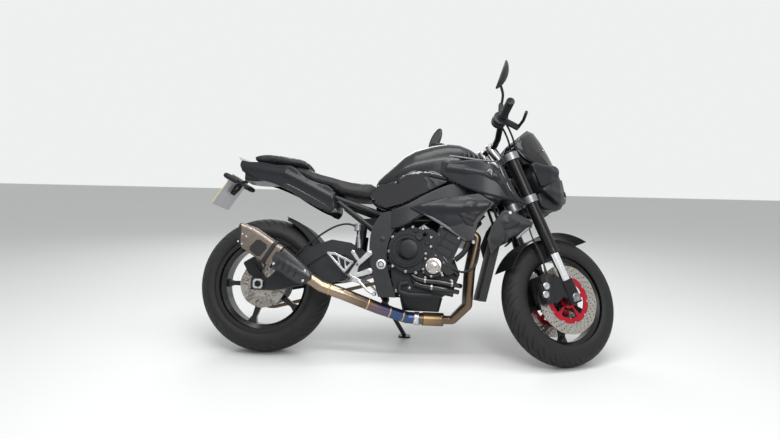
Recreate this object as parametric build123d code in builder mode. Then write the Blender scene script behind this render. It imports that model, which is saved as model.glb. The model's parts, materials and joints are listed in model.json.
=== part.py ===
from build123d import *
import os
from math import asin, cos, degrees, radians, sin, sqrt, tan

# A naked sports motorcycle, drawn upright and straight ahead in millimetres:
# X forward from the rear axle, Y to its left, Z up from the road.
# At the end every piece is set as the machine parks, steered and leaning on its side stand.

# Wheels and tyres
WHEELBASE = 1400
FRONT_TYRE = 599.8
FRONT_TYRE_WIDTH = 120
FRONT_CROWN_DROP = 60  # tread centre down to its edge
REAR_TYRE = 640.8
REAR_TYRE_WIDTH = 190
REAR_CROWN_DROP = 58.4
TYRE_WALL = 9
BEAD = 431.8  # 17 inch rim
RIM_FLANGE = 14
RIM_WALL = 6
RIM_WELL = 20
FRONT_RIM_WIDTH = 89
REAR_RIM_WIDTH = 152
SPOKES = 5
FRONT_HUB = 62
REAR_HUB = 84
REAR_HUB_HALF = 55
FRONT_AXLE = 22
FRONT_AXLE_BORE = 14
REAR_AXLE = 25
REAR_AXLE_BORE = 17

# Brakes and drive
FRONT_DISC = 320
CARRIER = 222
FRONT_DISC_OUT = 66  # middle plane of a disc from the machine's
REAR_DISC = 220
REAR_DISC_OUT = 66
DISC_THICK = 5
SPROCKET_TEETH = 43
FRONT_TEETH = 16
CHAIN_PITCH = 15.875
CHAIN_OUT = 110
CHAIN_WIDTH = 19
CHAIN_PLATE = 17

# Fit
GAP = 0.4  # between curved faces of different pieces
RUNNING = 6  # between a moving piece and what it passes

# Steering
CASTER = 24  # degrees
TRAIL = 102
FORK_OFFSET = 28.8  # fork legs ahead of the steering axis
FORK_TRACK = 210
SLIDER = 43
OUTER_TUBE = 56
TUBE_BOTTOM = 226  # up the fork from the front axle
TUBE_TOP = 730
LOWER_CLAMP = 470
UPPER_CLAMP = 690
CLAMP_THICK = 34
CLAMP_WALL = 9
CLAMP_DEEP = 54
HEAD_TUBE = 68
LOCK = 26.9  # degrees either way
BAR = 28.6
BAR_HALF = 400
GRIP = 34
GRIP_LONG = 122

# Parking
LEAN = 13.82  # degrees
STAND_X = 664  # foot on the ground, from the rear axle
STAND_Y = 326
STAND_LEG = 22

# Frame
SPAR = 36
PIVOT_X = 569  # swingarm pivot
PIVOT_Z = 430
PIVOT_SHAFT = 28
PIVOT_BORE = 20
PIVOT_TUBE = 40
PLATE_OUT = 176  # outside of the pivot plates
PLATE_THICK = 22
ARM_RIGHT = 126
ARM_LEFT = 150
ARM_THICK = 26
TAIL_RAIL = 26

# Engine
ENGINE_HALF = 150
CYLINDER_HALF = 188
CYLINDER_LEAN = 23  # degrees
CYLINDER_DEEP = 100
CYLINDER_TALL = 95
HEAD_DEEP = 138
HEAD_TALL = 108
CLUTCH_R = 100
COVER_OUT = 214
HOSE = 22
HEADER = 38
LINK = 54
SILENCER_OUT = 198
SILENCER_WIDE = 96
SILENCER_TALL = 112
RADIATOR_WIDE = 360
RADIATOR_TALL = 390
RADIATOR_THICK = 32

# Body
TANK_HALF = 160
TANK_TOP = 1028
SEAT_HALF = 122
PANEL = 3
LAMP = 62
PLATE_WIDE = 229
PLATE_TALL = 178

front_r = FRONT_TYRE / 2
rear_r = REAR_TYRE / 2
rear_axle = Vector(0, 0, rear_r)
front_axle = Vector(WHEELBASE, 0, front_r)
rise = Vector(-sin(radians(CASTER)), 0, cos(radians(CASTER)))
ahead = Vector(cos(radians(CASTER)), 0, sin(radians(CASTER)))
steering_foot = Vector(WHEELBASE + TRAIL, 0, 0)
bead_r = BEAD / 2
flange_r = bead_r + RIM_FLANGE
leg_out = FORK_TRACK / 2
plate_in = PLATE_OUT - PLATE_THICK

pieces = []


def keep(piece, name, turned=False):
    """Name a finished sub-part and note whether it turns with the fork."""
    piece.part.label = name
    pieces.append((piece.part, turned))


def side(out):
    """The upright plane at a distance to the right, read as forward and up."""
    return Plane.XZ.offset(out)


def across(x):
    """The plane across the machine at a distance ahead, read as left and up."""
    return Plane.YZ.offset(x)


def fork(up, out=0, forward=0):
    """The plane square to the fork, measured up it from the front axle."""
    return Plane(origin=front_axle + rise * up + ahead * forward + Vector(0, out, 0), x_dir=ahead, z_dir=rise)


def round_bar(points, radius, bend):
    """A round bar along straight runs joined by arcs."""
    with BuildLine() as path:
        if len(points) > 2:
            FilletPolyline(*points, radius=bend)
        else:
            Polyline(*points)
    with BuildSketch(Plane(origin=path.line @ 0, z_dir=path.line % 0)) as section:
        Circle(radius)
    sweep(section.sketch, path=path.line)


def shaft(x, z, radius, right, left, mode=Mode.ADD):
    """A round shaft or bore across the machine, from its right end to its left."""
    with BuildSketch(side(-left)) as section:
        with Locations((x, z)):
            Circle(radius)
    extrude(section.sketch, amount=left + right, mode=mode)


def plate(points, out, thick, mode=Mode.ADD):
    """A flat plate of a straight-sided outline seen from the right, its inner face out from the middle."""
    with BuildSketch(side(out)) as outline:
        with BuildLine():
            Polyline(*points, close=True)
        make_face()
    extrude(outline.sketch, amount=thick, mode=mode)


def loft_boxes(stations, mode=Mode.ADD):
    """A body through upright boxes: distance ahead, middle and width across, bottom, top, corner radius."""
    sections = []
    for x, middle, wide, low, top, corner in stations:
        with BuildSketch(across(x)) as section:
            with Locations((middle, (low + top) / 2)):
                RectangleRounded(wide, top - low, corner)
        sections.append(section.sketch)
    loft(sections, mode=mode)


# Parked: the fork on its left lock, both tyres and the stand's foot on the ground
def lowest(centre, axle, radius, crown):
    """Height of the lowest point of a leaning tyre."""
    return centre.Z - (radius - crown) * sqrt(1 - axle.Z**2) - crown


def carried(place, point):
    """A point after a placement."""
    return (place * Location(point)).position


def crown_radius(width, drop):
    return ((width / 2) ** 2 + drop**2) / 2 / drop


fork_frame = Plane(origin=steering_foot, x_dir=ahead, z_dir=rise)
lock = fork_frame.location * Rotation(0, 0, LOCK) * fork_frame.location.inverse()
nose_down = 0
for _ in range(8):
    lean = Location((0, 0, 0), (-LEAN, nose_down, 0))
    turned = lean * lock
    rear_line = carried(lean, (0, 1, 0))
    front_line = carried(turned, (0, 1, 0)) - carried(turned, (0, 0, 0))
    rear_low = lowest(carried(lean, rear_axle), rear_line, rear_r, crown_radius(REAR_TYRE_WIDTH, REAR_CROWN_DROP))
    front_low = lowest(carried(turned, front_axle), front_line, front_r,
                       crown_radius(FRONT_TYRE_WIDTH, FRONT_CROWN_DROP))
    nose_down += degrees(asin((front_low - rear_low) / WHEELBASE))
parked = Location((0, 0, -rear_low)) * lean

foot_point = carried(parked.inverse(), (STAND_X, STAND_Y, 0))
ground_up = carried(parked.inverse(), (0, 0, 1)) - carried(parked.inverse(), (0, 0, 0))
stand_pivot = Vector(566, 165, 258)
down = (foot_point - stand_pivot).normalized()
folded = Vector(-0.985, 0.17, 0)
stand_axis = down.cross(folded).normalized()


# Tyres: tread arc, sidewalls and beads turned about the axle, open to the rim
def tyre(axle, radius, width, drop, rim_width):
    half = width / 2
    rim_half = rim_width / 2
    shoulder = radius - drop
    with BuildSketch(Plane(origin=axle, x_dir=(0, 1, 0), z_dir=(1, 0, 0))) as section:
        with BuildLine():
            for hand in (-1, 1):
                Polyline(
                    (hand * half, shoulder), (hand * (rim_half + RIM_WALL), flange_r + 4),
                    (hand * (rim_half - GAP), flange_r + 2), (hand * (rim_half - GAP), bead_r + GAP),
                    (hand * (rim_half - TYRE_WALL - 3), bead_r + GAP), (hand * (rim_half - TYRE_WALL), flange_r + 4),
                    (hand * (half - TYRE_WALL), shoulder),
                )
            ThreePointArc((-half, shoulder), (0, radius), (half, shoulder))
            ThreePointArc((TYRE_WALL - half, shoulder), (0, radius - TYRE_WALL), (half - TYRE_WALL, shoulder))
        make_face()
    revolve(section.sketch, axis=Axis(axle, (0, 1, 0)))


with BuildPart() as front_tyre:
    tyre(front_axle, front_r, FRONT_TYRE_WIDTH, FRONT_CROWN_DROP, FRONT_RIM_WIDTH)
keep(front_tyre, "front_tyre", True)

with BuildPart() as rear_tyre:
    tyre(rear_axle, rear_r, REAR_TYRE_WIDTH, REAR_CROWN_DROP, REAR_RIM_WIDTH)
keep(rear_tyre, "rear_tyre")


# Cast wheels: flanged barrel, hub and tapered spokes
def rim(axle, width, hub, hub_half, bore, first_spoke):
    half = width / 2
    well_r = bead_r - RIM_WELL
    with BuildSketch(Plane(origin=axle, x_dir=(0, 1, 0), z_dir=(1, 0, 0))) as barrel:
        with BuildLine():
            Polyline(
                (-half - RIM_WALL, flange_r), (-half, flange_r), (-half, bead_r), (-half * 0.62, bead_r),
                (-half * 0.45, well_r), (half * 0.45, well_r), (half * 0.62, bead_r), (half, bead_r),
                (half, flange_r), (half + RIM_WALL, flange_r), (half + RIM_WALL, bead_r - RIM_WALL),
                (half * 0.7, bead_r - RIM_WALL), (half * 0.5, well_r - RIM_WALL),
                (-half * 0.5, well_r - RIM_WALL), (-half * 0.7, bead_r - RIM_WALL),
                (-half - RIM_WALL, bead_r - RIM_WALL), close=True,
            )
        make_face()
    revolve(barrel.sketch, axis=Axis(axle, (0, 1, 0)))
    shaft(axle.X, axle.Z, hub / 2, hub_half, hub_half)
    for spoke in range(SPOKES):
        turn = radians(first_spoke + spoke * 360 / SPOKES)
        out = Vector(cos(turn), 0, sin(turn))
        with BuildSketch(Plane(origin=axle + out * hub / 3, x_dir=(0, 1, 0), z_dir=out)) as root:
            RectangleRounded(46, 36, 8)
        with BuildSketch(Plane(origin=axle + out * (well_r - 34), x_dir=(0, 1, 0), z_dir=out)) as neck:
            RectangleRounded(34, 20, 6)
        with BuildSketch(Plane(origin=axle + out * (well_r - RIM_WALL + 2), x_dir=(0, 1, 0), z_dir=out)) as tip:
            RectangleRounded(38, 44, 6)
        loft([root.sketch, neck.sketch, tip.sketch], ruled=True)
    shaft(axle.X, axle.Z, bore / 2, hub_half, hub_half, Mode.SUBTRACT)


front_hub_half = FRONT_DISC_OUT - DISC_THICK / 2
with BuildPart() as front_rim:
    rim(front_axle, FRONT_RIM_WIDTH, FRONT_HUB, front_hub_half, FRONT_AXLE + 2 * GAP, 270)
keep(front_rim, "front_rim", True)

with BuildPart() as rear_rim:
    rim(rear_axle, REAR_RIM_WIDTH, REAR_HUB, REAR_HUB_HALF, REAR_AXLE + 2 * GAP, 180)
keep(rear_rim, "rear_rim")


# Discs and their carriers
def ring(axle, outer, inner, middle, thick):
    """A flat ring about an axle, its middle plane out to the right."""
    with BuildSketch(side(middle - thick / 2)) as flat:
        with Locations((axle.X, axle.Z)):
            Circle(outer / 2)
            Circle(inner / 2, mode=Mode.SUBTRACT)
    extrude(flat.sketch, amount=thick)


with BuildPart() as front_discs:
    for hand in (-1, 1):
        ring(front_axle, FRONT_DISC, CARRIER + 2 * GAP, hand * FRONT_DISC_OUT, DISC_THICK)
keep(front_discs, "front_discs", True)

carrier_neck = CARRIER / 2 - 24
with BuildPart() as disc_carriers:
    for hand in (-1, 1):
        ring(front_axle, CARRIER, 2 * carrier_neck, hand * FRONT_DISC_OUT, DISC_THICK)
        ring(front_axle, FRONT_HUB + 20, FRONT_AXLE + 8, hand * FRONT_DISC_OUT, DISC_THICK)
        for leg in range(SPOKES):
            turn = radians(306 + leg * 360 / SPOKES)
            mid_r = (carrier_neck + FRONT_HUB / 2) / 2
            with BuildSketch(side(hand * FRONT_DISC_OUT - DISC_THICK / 2)) as web:
                with Locations(Location((front_axle.X + mid_r * cos(turn), front_axle.Z + mid_r * sin(turn)),
                                        degrees(turn))):
                    Trapezoid(24, carrier_neck - FRONT_HUB / 2 + 12, 80, rotation=90)
            extrude(web.sketch, amount=DISC_THICK)
keep(disc_carriers, "disc_carriers", True)

with BuildPart() as rear_disc:
    ring(rear_axle, REAR_DISC, REAR_AXLE + 16, REAR_DISC_OUT, DISC_THICK)
    ring(rear_axle, REAR_HUB, REAR_AXLE + 16, (REAR_HUB_HALF + REAR_DISC_OUT) / 2, REAR_DISC_OUT - REAR_HUB_HALF)
keep(rear_disc, "rear_disc")


# Chain and sprockets
def pitch_radius(teeth):
    return CHAIN_PITCH / 2 / sin(radians(180 / teeth))


rear_pitch_r = pitch_radius(SPROCKET_TEETH)
front_pitch_r = pitch_radius(FRONT_TEETH)
drive_x = PIVOT_X + 82
drive_z = PIVOT_Z - 2
with BuildPart() as rear_sprocket:
    ring(rear_axle, 2 * (rear_pitch_r - CHAIN_PLATE / 2 - 1), REAR_AXLE + 16, -CHAIN_OUT, 6)
    ring(rear_axle, REAR_HUB + 50, REAR_AXLE + 16, -(REAR_HUB_HALF + CHAIN_OUT - 3) / 2, CHAIN_OUT - 3 - REAR_HUB_HALF)
keep(rear_sprocket, "rear_sprocket")

with BuildPart() as drive_chain:
    for reach, mode in ((CHAIN_PLATE / 2, Mode.ADD), (-CHAIN_PLATE / 2, Mode.SUBTRACT)):
        with BuildSketch(side(-CHAIN_OUT - CHAIN_WIDTH / 2)) as loop:
            with Locations((0, rear_axle.Z)):
                Circle(rear_pitch_r + reach)
            with Locations((drive_x, drive_z)):
                Circle(front_pitch_r + reach)
            make_hull()
        extrude(loop.sketch, amount=CHAIN_WIDTH, mode=mode)
keep(drive_chain, "drive_chain")

# Main frame: head tube, spars, pivot plates, cross members, hollow pivot shaft and the stand's lug
head_low = LOWER_CLAMP + CLAMP_THICK + GAP
head_high = UPPER_CLAMP - GAP
with BuildPart() as main_frame:
    loft_boxes((
        (1106, -40, SPAR, 742, 878, 8), (1052, -58, SPAR, 736, 870, 8), (985, -126, SPAR, 728, 850, 8),
        (880, -168, SPAR, 712, 812, 8), (740, -176, SPAR, 655, 745, 8), (608, -165, SPAR, 592, 682, 8),
    ))
    with BuildSketch(side(plate_in)):
        with BuildLine():
            Spline((640, 284), (618, 350), (594, 440), (596, 520), (642, 618))
            Line((642, 618), (622, 680))
            Line((622, 680), (570, 668))
            Spline((570, 668), (524, 600), (512, 510), (530, 390), (562, 284))
            Line((562, 284), (640, 284))
        make_face()
    extrude(amount=PLATE_THICK)
    mirror(about=Plane.XZ)
    with BuildSketch(fork(head_low, forward=-FORK_OFFSET)):
        Circle(HEAD_TUBE / 2)
    extrude(amount=head_high - head_low)
    loft_boxes(((1046, 0, 110, 752, 860, 8), (1112, 0, 64, 752, 872, 8)))
    for x, z, size in ((572, 650, 40), (600, 303, 32)):
        with BuildSketch(side(-plate_in)) as member:
            with Locations((x, z)):
                Rectangle(size, size)
        extrude(member.sketch, amount=2 * plate_in)
    plate([(455, 622), (560, 632), (560, 668), (455, 654)], -24, 48)
    plate([(440, 615), (480, 622), (480, 654), (440, 660)], -16, 32, Mode.SUBTRACT)
    shaft(PIVOT_X, PIVOT_Z, PIVOT_SHAFT / 2, PLATE_OUT + 4, PLATE_OUT + 4)
    shaft(PIVOT_X, PIVOT_Z, PIVOT_BORE / 2, PLATE_OUT + 4, PLATE_OUT + 4, Mode.SUBTRACT)
    with BuildSketch(Plane(origin=stand_pivot + stand_axis * (STAND_LEG / 2 + GAP), x_dir=-down, z_dir=stand_axis)):
        Circle(18)
        with Locations((46, 0)):
            Circle(18)
        make_hull()
    extrude(amount=14)
keep(main_frame, "main_frame")

# Swingarm: two deep arms, a cross beam ahead of the tyre, the pivot tube and the hollow axle
arm_outline = [
    (-42, 293), (-42, 347), (40, 352), (110, 420), (220, 500), (330, 540), (420, 528), (510, 478),
    (PIVOT_X + 12, PIVOT_Z + 34), (PIVOT_X + 30, PIVOT_Z), (PIVOT_X, PIVOT_Z - 36), (470, 388), (360, 345),
    (200, 322), (60, 293),
]
pocket = [(200, 400), (300, 470), (400, 470), (430, 440), (330, 395), (230, 372)]
with BuildPart() as swingarm:
    for inner, reach in ((ARM_RIGHT - ARM_THICK, ARM_THICK), (-ARM_LEFT, ARM_THICK)):
        plate(arm_outline, inner, reach)
    for inner, reach in ((ARM_RIGHT - 8, 8), (-ARM_LEFT, 8)):
        plate(pocket, inner, reach, Mode.SUBTRACT)
    plate([(362, 345), (362, 424), (426, 424), (426, 360)], -ARM_LEFT + ARM_THICK / 2, ARM_LEFT + ARM_RIGHT - ARM_THICK)
    shaft(PIVOT_X, PIVOT_Z, PIVOT_TUBE / 2, ARM_RIGHT - 1, ARM_LEFT - 1)
    shaft(PIVOT_X, PIVOT_Z, PIVOT_SHAFT / 2 + GAP, PLATE_OUT, PLATE_OUT, Mode.SUBTRACT)
    shaft(0, rear_r, REAR_AXLE / 2, ARM_RIGHT + 10, ARM_LEFT + 10)
    shaft(0, rear_r, REAR_AXLE_BORE / 2, ARM_RIGHT + 10, ARM_LEFT + 10, Mode.SUBTRACT)
keep(swingarm, "swingarm")

with BuildPart() as rear_shock:
    shock_low = Vector(426 + 14 + GAP, 0, 392)
    shock_high = Vector(462, 0, 638)
    shock_line = (shock_high - shock_low).normalized()
    shaft(shock_low.X, shock_low.Z, 14, 15, 15)
    shaft(shock_high.X, shock_high.Z, 14, 15, 15)
    round_bar([shock_low, shock_high], 18, 1)
    round_bar([shock_low + shock_line * 34, shock_high - shock_line * 70], 31, 1)
    add(main_frame.part, mode=Mode.SUBTRACT)
    add(swingarm.part, mode=Mode.SUBTRACT)
keep(rear_shock, "rear_shock")

# Engine: case with sump, leaning cylinder block and head, and the covers on its two sides
with BuildPart() as engine_case:
    plate([
        (610, 560), (690, 606), (795, 596), (830, 500), (900, 465), (925, 400), (900, 330), (845, 292),
        (660, 290), (624, 345), (606, 440),
    ], -ENGINE_HALF, 2 * ENGINE_HALF)
    plate([(600, 350), (718, 350), (718, 520), (600, 520)], -ENGINE_HALF - 1, ENGINE_HALF + 1 - CHAIN_OUT + 16,
          Mode.SUBTRACT)
    with BuildSketch(Plane.XY.offset(292)) as sump_top:
        with Locations((752, 0)):
            RectangleRounded(200, 190, 20)
    with BuildSketch(Plane.XY.offset(226)) as sump_low:
        with Locations((752, 0)):
            RectangleRounded(170, 130, 20)
    loft([sump_top.sketch, sump_low.sketch])
    shaft(drive_x, drive_z, 14, -CHAIN_OUT + 17, CHAIN_OUT + 8)
    for x, z in ((622, 322), (622, 566)):
        shaft(x, z, 15, plate_in - GAP, plate_in - GAP)
    add(main_frame.part, mode=Mode.SUBTRACT)
keep(engine_case, "engine_case")

lean_dir = Vector(sin(radians(CYLINDER_LEAN)), 0, cos(radians(CYLINDER_LEAN)))
front_dir = Vector(cos(radians(CYLINDER_LEAN)), 0, -sin(radians(CYLINDER_LEAN)))
bore_foot = Vector(846, 0, 484)


def bore(up):
    """The plane square to the cylinders, measured up them from their foot."""
    return Plane(origin=bore_foot + lean_dir * up, x_dir=front_dir, z_dir=lean_dir)


with BuildPart() as cylinders:
    with BuildSketch(bore(-40)):
        Rectangle(CYLINDER_DEEP, 2 * CYLINDER_HALF)
    extrude(amount=CYLINDER_TALL + 40)
    with BuildSketch(bore(CYLINDER_TALL)):
        RectangleRounded(HEAD_DEEP, 2 * CYLINDER_HALF, 10)
    extrude(amount=HEAD_TALL)
    add(engine_case.part, mode=Mode.SUBTRACT)
keep(cylinders, "cylinders")

clutch_x = 698
clutch_z = 497
with BuildPart() as engine_covers:
    with BuildSketch(side(ENGINE_HALF)):
        with Locations((clutch_x, clutch_z)):
            Circle(CLUTCH_R)
        with Locations((772, 540)):
            Circle(60)
        make_hull()
    extrude(amount=26)
    with BuildSketch(side(ENGINE_HALF + 26)):
        with Locations((clutch_x - 14, clutch_z + 6)):
            Circle(CLUTCH_R - 20)
    extrude(amount=16)
    with BuildSketch(side(ENGINE_HALF + 42)):
        with Locations((clutch_x - 4, clutch_z + 6)):
            Circle(42)
    extrude(amount=COVER_OUT - ENGINE_HALF - 42)
    shaft(800, 420, 70, -ENGINE_HALF, ENGINE_HALF + 46)
    plate([(612, 338), (732, 338), (732, 532), (640, 532), (612, 440)], -ENGINE_HALF - 22, 22)
    add(cylinders.part, mode=Mode.SUBTRACT)
    add(main_frame.part, mode=Mode.SUBTRACT)
    add(engine_case.part, mode=Mode.SUBTRACT)
keep(engine_covers, "engine_covers")

with BuildPart() as ignition_cover:
    with BuildSketch(side(ENGINE_HALF)):
        with Locations((805, 428)):
            Circle(47)
        with Locations((874, 420)):
            Circle(26)
    extrude(amount=34)
    add(engine_covers.part, mode=Mode.SUBTRACT)
    add(cylinders.part, mode=Mode.SUBTRACT)
keep(ignition_cover, "ignition_cover")

with BuildPart() as coolant_hoses:
    out = -ENGINE_HALF - HOSE / 2 - GAP
    round_bar([(720, out, 348), (830, out, 320), (898, out, 308)], HOSE / 2, 60)
    round_bar([(692, out, 352), (656, out, 348), (654, out, 312), (700, out, 300), (800, out, 300)], HOSE / 2, 15)
keep(coolant_hoses, "coolant_hoses")

# Radiator, with the oil cooler below it, and its side covers
radiator_up = Vector(0.218, 0, 0.976)
radiator_foot = Vector(1010, 0, 290)
with BuildPart() as radiator:
    with BuildSketch(Plane(origin=radiator_foot + radiator_up * RADIATOR_TALL / 2, x_dir=(0, 1, 0),
                           z_dir=(0.976, 0, -0.218))):
        Rectangle(RADIATOR_WIDE, RADIATOR_TALL)
    extrude(amount=RADIATOR_THICK)
    for hand in (-1, 1):
        round_bar([(1096, hand * 96, 660), (1062, hand * 96, 750)], 7, 1)
    add(main_frame.part, mode=Mode.SUBTRACT)
keep(radiator, "radiator")

cover_in = RADIATOR_WIDE / 2 + GAP
with BuildPart() as radiator_covers:
    plate([(1106, 690), (1140, 690), (1240, 642), (1232, 616), (1118, 556), (1058, 496), (1040, 560), (1070, 640)],
          cover_in, 20)
    mirror(about=Plane.XZ)
keep(radiator_covers, "radiator_covers")

# Exhaust: four headers into one collector, link pipe and silencer
port = bore(CYLINDER_TALL + 52).origin + front_dir * (HEAD_DEEP / 2 + GAP)
with BuildPart() as exhaust_headers:
    for lane in (-135, -48, 48, 135):
        round_bar([(port.X, lane, port.Z), (port.X + 34, lane, port.Z - 20), (975, lane, 420),
                   (968, lane * 0.8, 262), (900, lane * 0.3 - 30, 192), (850, lane * 0.1 - 40, 192)], HEADER / 2, 21)
    round_bar([(856, -40, 192), (762, -62, 192)], LINK / 2 + 4, 1)
    add(cylinders.part, mode=Mode.SUBTRACT)
keep(exhaust_headers, "exhaust_headers")

silencer_rise = Vector(-cos(radians(31)), 0, sin(radians(31)))
silencer_foot = Vector(252, -SILENCER_OUT, 352)


def silencer_plane(along):
    """The plane square to the silencer, measured back along it from its inlet."""
    return Plane(origin=silencer_foot + silencer_rise * along, x_dir=(0, 1, 0), z_dir=silencer_rise)


with BuildPart() as silencer:
    with BuildSketch(silencer_plane(170)):
        RectangleRounded(SILENCER_WIDE, SILENCER_TALL, 26)
    extrude(amount=190)
keep(silencer, "silencer")

with BuildPart() as silencer_trim:
    with BuildSketch(silencer_plane(0)):
        RectangleRounded(LINK + 10, LINK + 10, 22)
    with BuildSketch(silencer_plane(170)):
        RectangleRounded(SILENCER_WIDE, SILENCER_TALL, 26)
    loft()
    with BuildSketch(silencer_plane(360)):
        RectangleRounded(SILENCER_WIDE, SILENCER_TALL, 26)
    extrude(amount=22)
keep(silencer_trim, "silencer_trim")

with BuildPart() as link_pipe:
    round_bar([(762, -62, 192), (690, -80, 196), (560, -128, 234), (400, -182, 292),
               tuple(silencer_foot - silencer_rise * 60), tuple(silencer_foot)], LINK / 2, 40)
    add(exhaust_headers.part, mode=Mode.SUBTRACT)
    add(silencer_trim.part, mode=Mode.SUBTRACT)
keep(link_pipe, "link_pipe")

# Fuel tank and its panels
tank_low = 800
cap_x = 806
cap_z = TANK_TOP + 3
with BuildPart() as fuel_tank:
    for x, half, top in (
        (1012, 96, 968), (940, 140, 1006), (850, TANK_HALF, TANK_TOP), (760, TANK_HALF, TANK_TOP - 4),
        (660, 134, 996), (580, 106, 930), (518, 84, 868),
    ):
        with BuildSketch(across(x)):
            tall = top - tank_low
            with BuildLine():
                Line((half * 0.9, tank_low), (-half * 0.9, tank_low))
                Spline((-half * 0.9, tank_low), (-half, tank_low + tall * 0.45), (-half * 0.7, tank_low + tall * 0.86),
                       (0, top), (half * 0.7, tank_low + tall * 0.86), (half, tank_low + tall * 0.45),
                       (half * 0.9, tank_low))
            make_face()
    loft()
    with BuildSketch(Plane.XY.offset(TANK_TOP - 30)):
        with Locations((cap_x, 0)):
            Circle(46)
    extrude(amount=cap_z - GAP - TANK_TOP + 30)
    add(main_frame.part, mode=Mode.SUBTRACT)
keep(fuel_tank, "fuel_tank")

with BuildPart() as fuel_cap:
    with BuildSketch(Plane.XY.offset(cap_z)):
        with Locations((cap_x, 0)):
            Circle(40)
    extrude(amount=8)
keep(fuel_cap, "fuel_cap")

with BuildPart() as tank_side_covers:
    with BuildSketch(side(112)):
        with BuildLine():
            Polyline((502, 742), (575, 690), (650, 712), (860, 828), (838, 860), (750, 868), (640, 806), (548, 800),
                     close=True)
        make_face()
    extrude(amount=56)
    mirror(about=Plane.XZ)
    add(fuel_tank.part, mode=Mode.SUBTRACT)
    add(main_frame.part, mode=Mode.SUBTRACT)
keep(tank_side_covers, "tank_side_covers")

with BuildPart() as air_scoops:
    loft_boxes((
        (830, -174, 24, 850, 918, 6), (930, -192, 44, 790, 914, 8), (1050, -196, 60, 750, 893, 10),
        (1130, -186, 54, 736, 815, 10), (1196, -178, 40, 722, 736, 5),
    ))
    mirror(about=Plane.XZ)
    add(fuel_tank.part, mode=Mode.SUBTRACT)
    add(main_frame.part, mode=Mode.SUBTRACT)
    add(tank_side_covers.part, mode=Mode.SUBTRACT)
keep(air_scoops, "air_scoops")

with BuildPart() as duct_covers:
    plate([(690, 690), (750, 712), (815, 730), (900, 746), (998, 762), (1066, 720), (1040, 692), (994, 628),
           (978, 552), (958, 548), (800, 642)], 194, 16)
    mirror(about=Plane.XZ)
    add(main_frame.part, mode=Mode.SUBTRACT)
    add(air_scoops.part, mode=Mode.SUBTRACT)
keep(duct_covers, "duct_covers")

# Subframe, seats and tail
with BuildPart() as subframe:
    round_bar([(570, -112, 662), (350, -100, 735), (100, -66, 826), (-60, -44, 846)], TAIL_RAIL / 2, 60)
    round_bar([(524, -140, 592), (346, -101, 722)], TAIL_RAIL / 2 - 2, 60)
    mirror(about=Plane.XZ)
    round_bar([(100, -66, 826), (100, 66, 826)], TAIL_RAIL / 2 - 2, 60)
    round_bar([(350, -100, 735), (350, 100, 735)], TAIL_RAIL / 2 - 2, 60)
    add(main_frame.part, mode=Mode.SUBTRACT)
keep(subframe, "subframe")

with BuildPart() as seats:
    loft_boxes((
        (532, 0, 120, 745, 806, 20), (450, 0, 176, 752, 806, 24), (350, 0, 232, 768, 822, 24),
        (250, 0, 2 * SEAT_HALF, 800, 848, 22), (196, 0, 220, 822, 874, 22),
    ))
    loft_boxes(((188, 0, 190, 880, 915, 15), (100, 0, 182, 880, 920, 15), (0, 0, 150, 888, 927, 15),
                (-64, 0, 110, 898, 932, 12)))
    add(fuel_tank.part, mode=Mode.SUBTRACT)
    add(tank_side_covers.part, mode=Mode.SUBTRACT)
keep(seats, "seats")

with BuildPart() as tail_cowl:
    loft_boxes((
        (330, 0, 250, 692, 768, 12), (200, 0, 244, 744, 826, 12), (80, 0, 210, 806, 882, 12), (-40, 0, 160, 818, 894, 12),
        (-134, 0, 120, 824, 916, 12),
    ))
    add(subframe.part, mode=Mode.SUBTRACT)
    add(seats.part, mode=Mode.SUBTRACT)
keep(tail_cowl, "tail_cowl")

with BuildPart() as tail_lamp:
    loft_boxes(((-134.4, 0, 104, 856, 912, 8), (-152, 0, 84, 872, 916, 8)))
keep(tail_lamp, "tail_lamp")

with BuildPart() as plate_bracket:
    round_bar([(-100, 0, 812), (-160, 0, 800), (-196, 0, 735), (-228, 0, 672)], 9, 20)
    for hand in (-1, 1):
        round_bar([(-160, 0, 800), (-160, hand * 110, 806)], 6, 1)
        round_bar([(-205, hand * 118, 826), (-135, hand * 118, 792)], 13, 1)
    add(tail_cowl.part, mode=Mode.SUBTRACT)
keep(plate_bracket, "plate_bracket")

plate_normal = Vector(-63, 0, 32).normalized()
with BuildPart() as number_plate:
    with BuildSketch(Plane(origin=Vector(-212, 0, 703) + plate_normal * (9 + GAP), x_dir=(0, 1, 0),
                           z_dir=plate_normal)):
        RectangleRounded(PLATE_WIDE, PLATE_TALL, 10)
    extrude(amount=2)
    add(plate_bracket.part, mode=Mode.SUBTRACT)
keep(number_plate, "number_plate")

# Rear mudguard over the tyre, on the swingarm's cross beam
guard_r = rear_r + 16
with BuildPart() as rear_mudguard:
    with BuildSketch(side(-84)):
        with BuildLine():
            outer = CenterArc((0, rear_r), guard_r + PANEL, 18, 54)
            inner = CenterArc((0, rear_r), guard_r, 18, 54)
            Line(outer @ 1, inner @ 1)
            Polyline(inner @ 0, (362, 424 + GAP), (400, 424 + GAP), outer @ 0)
        make_face()
    extrude(amount=84 + ARM_RIGHT - ARM_THICK - GAP)
keep(rear_mudguard, "rear_mudguard")

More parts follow.
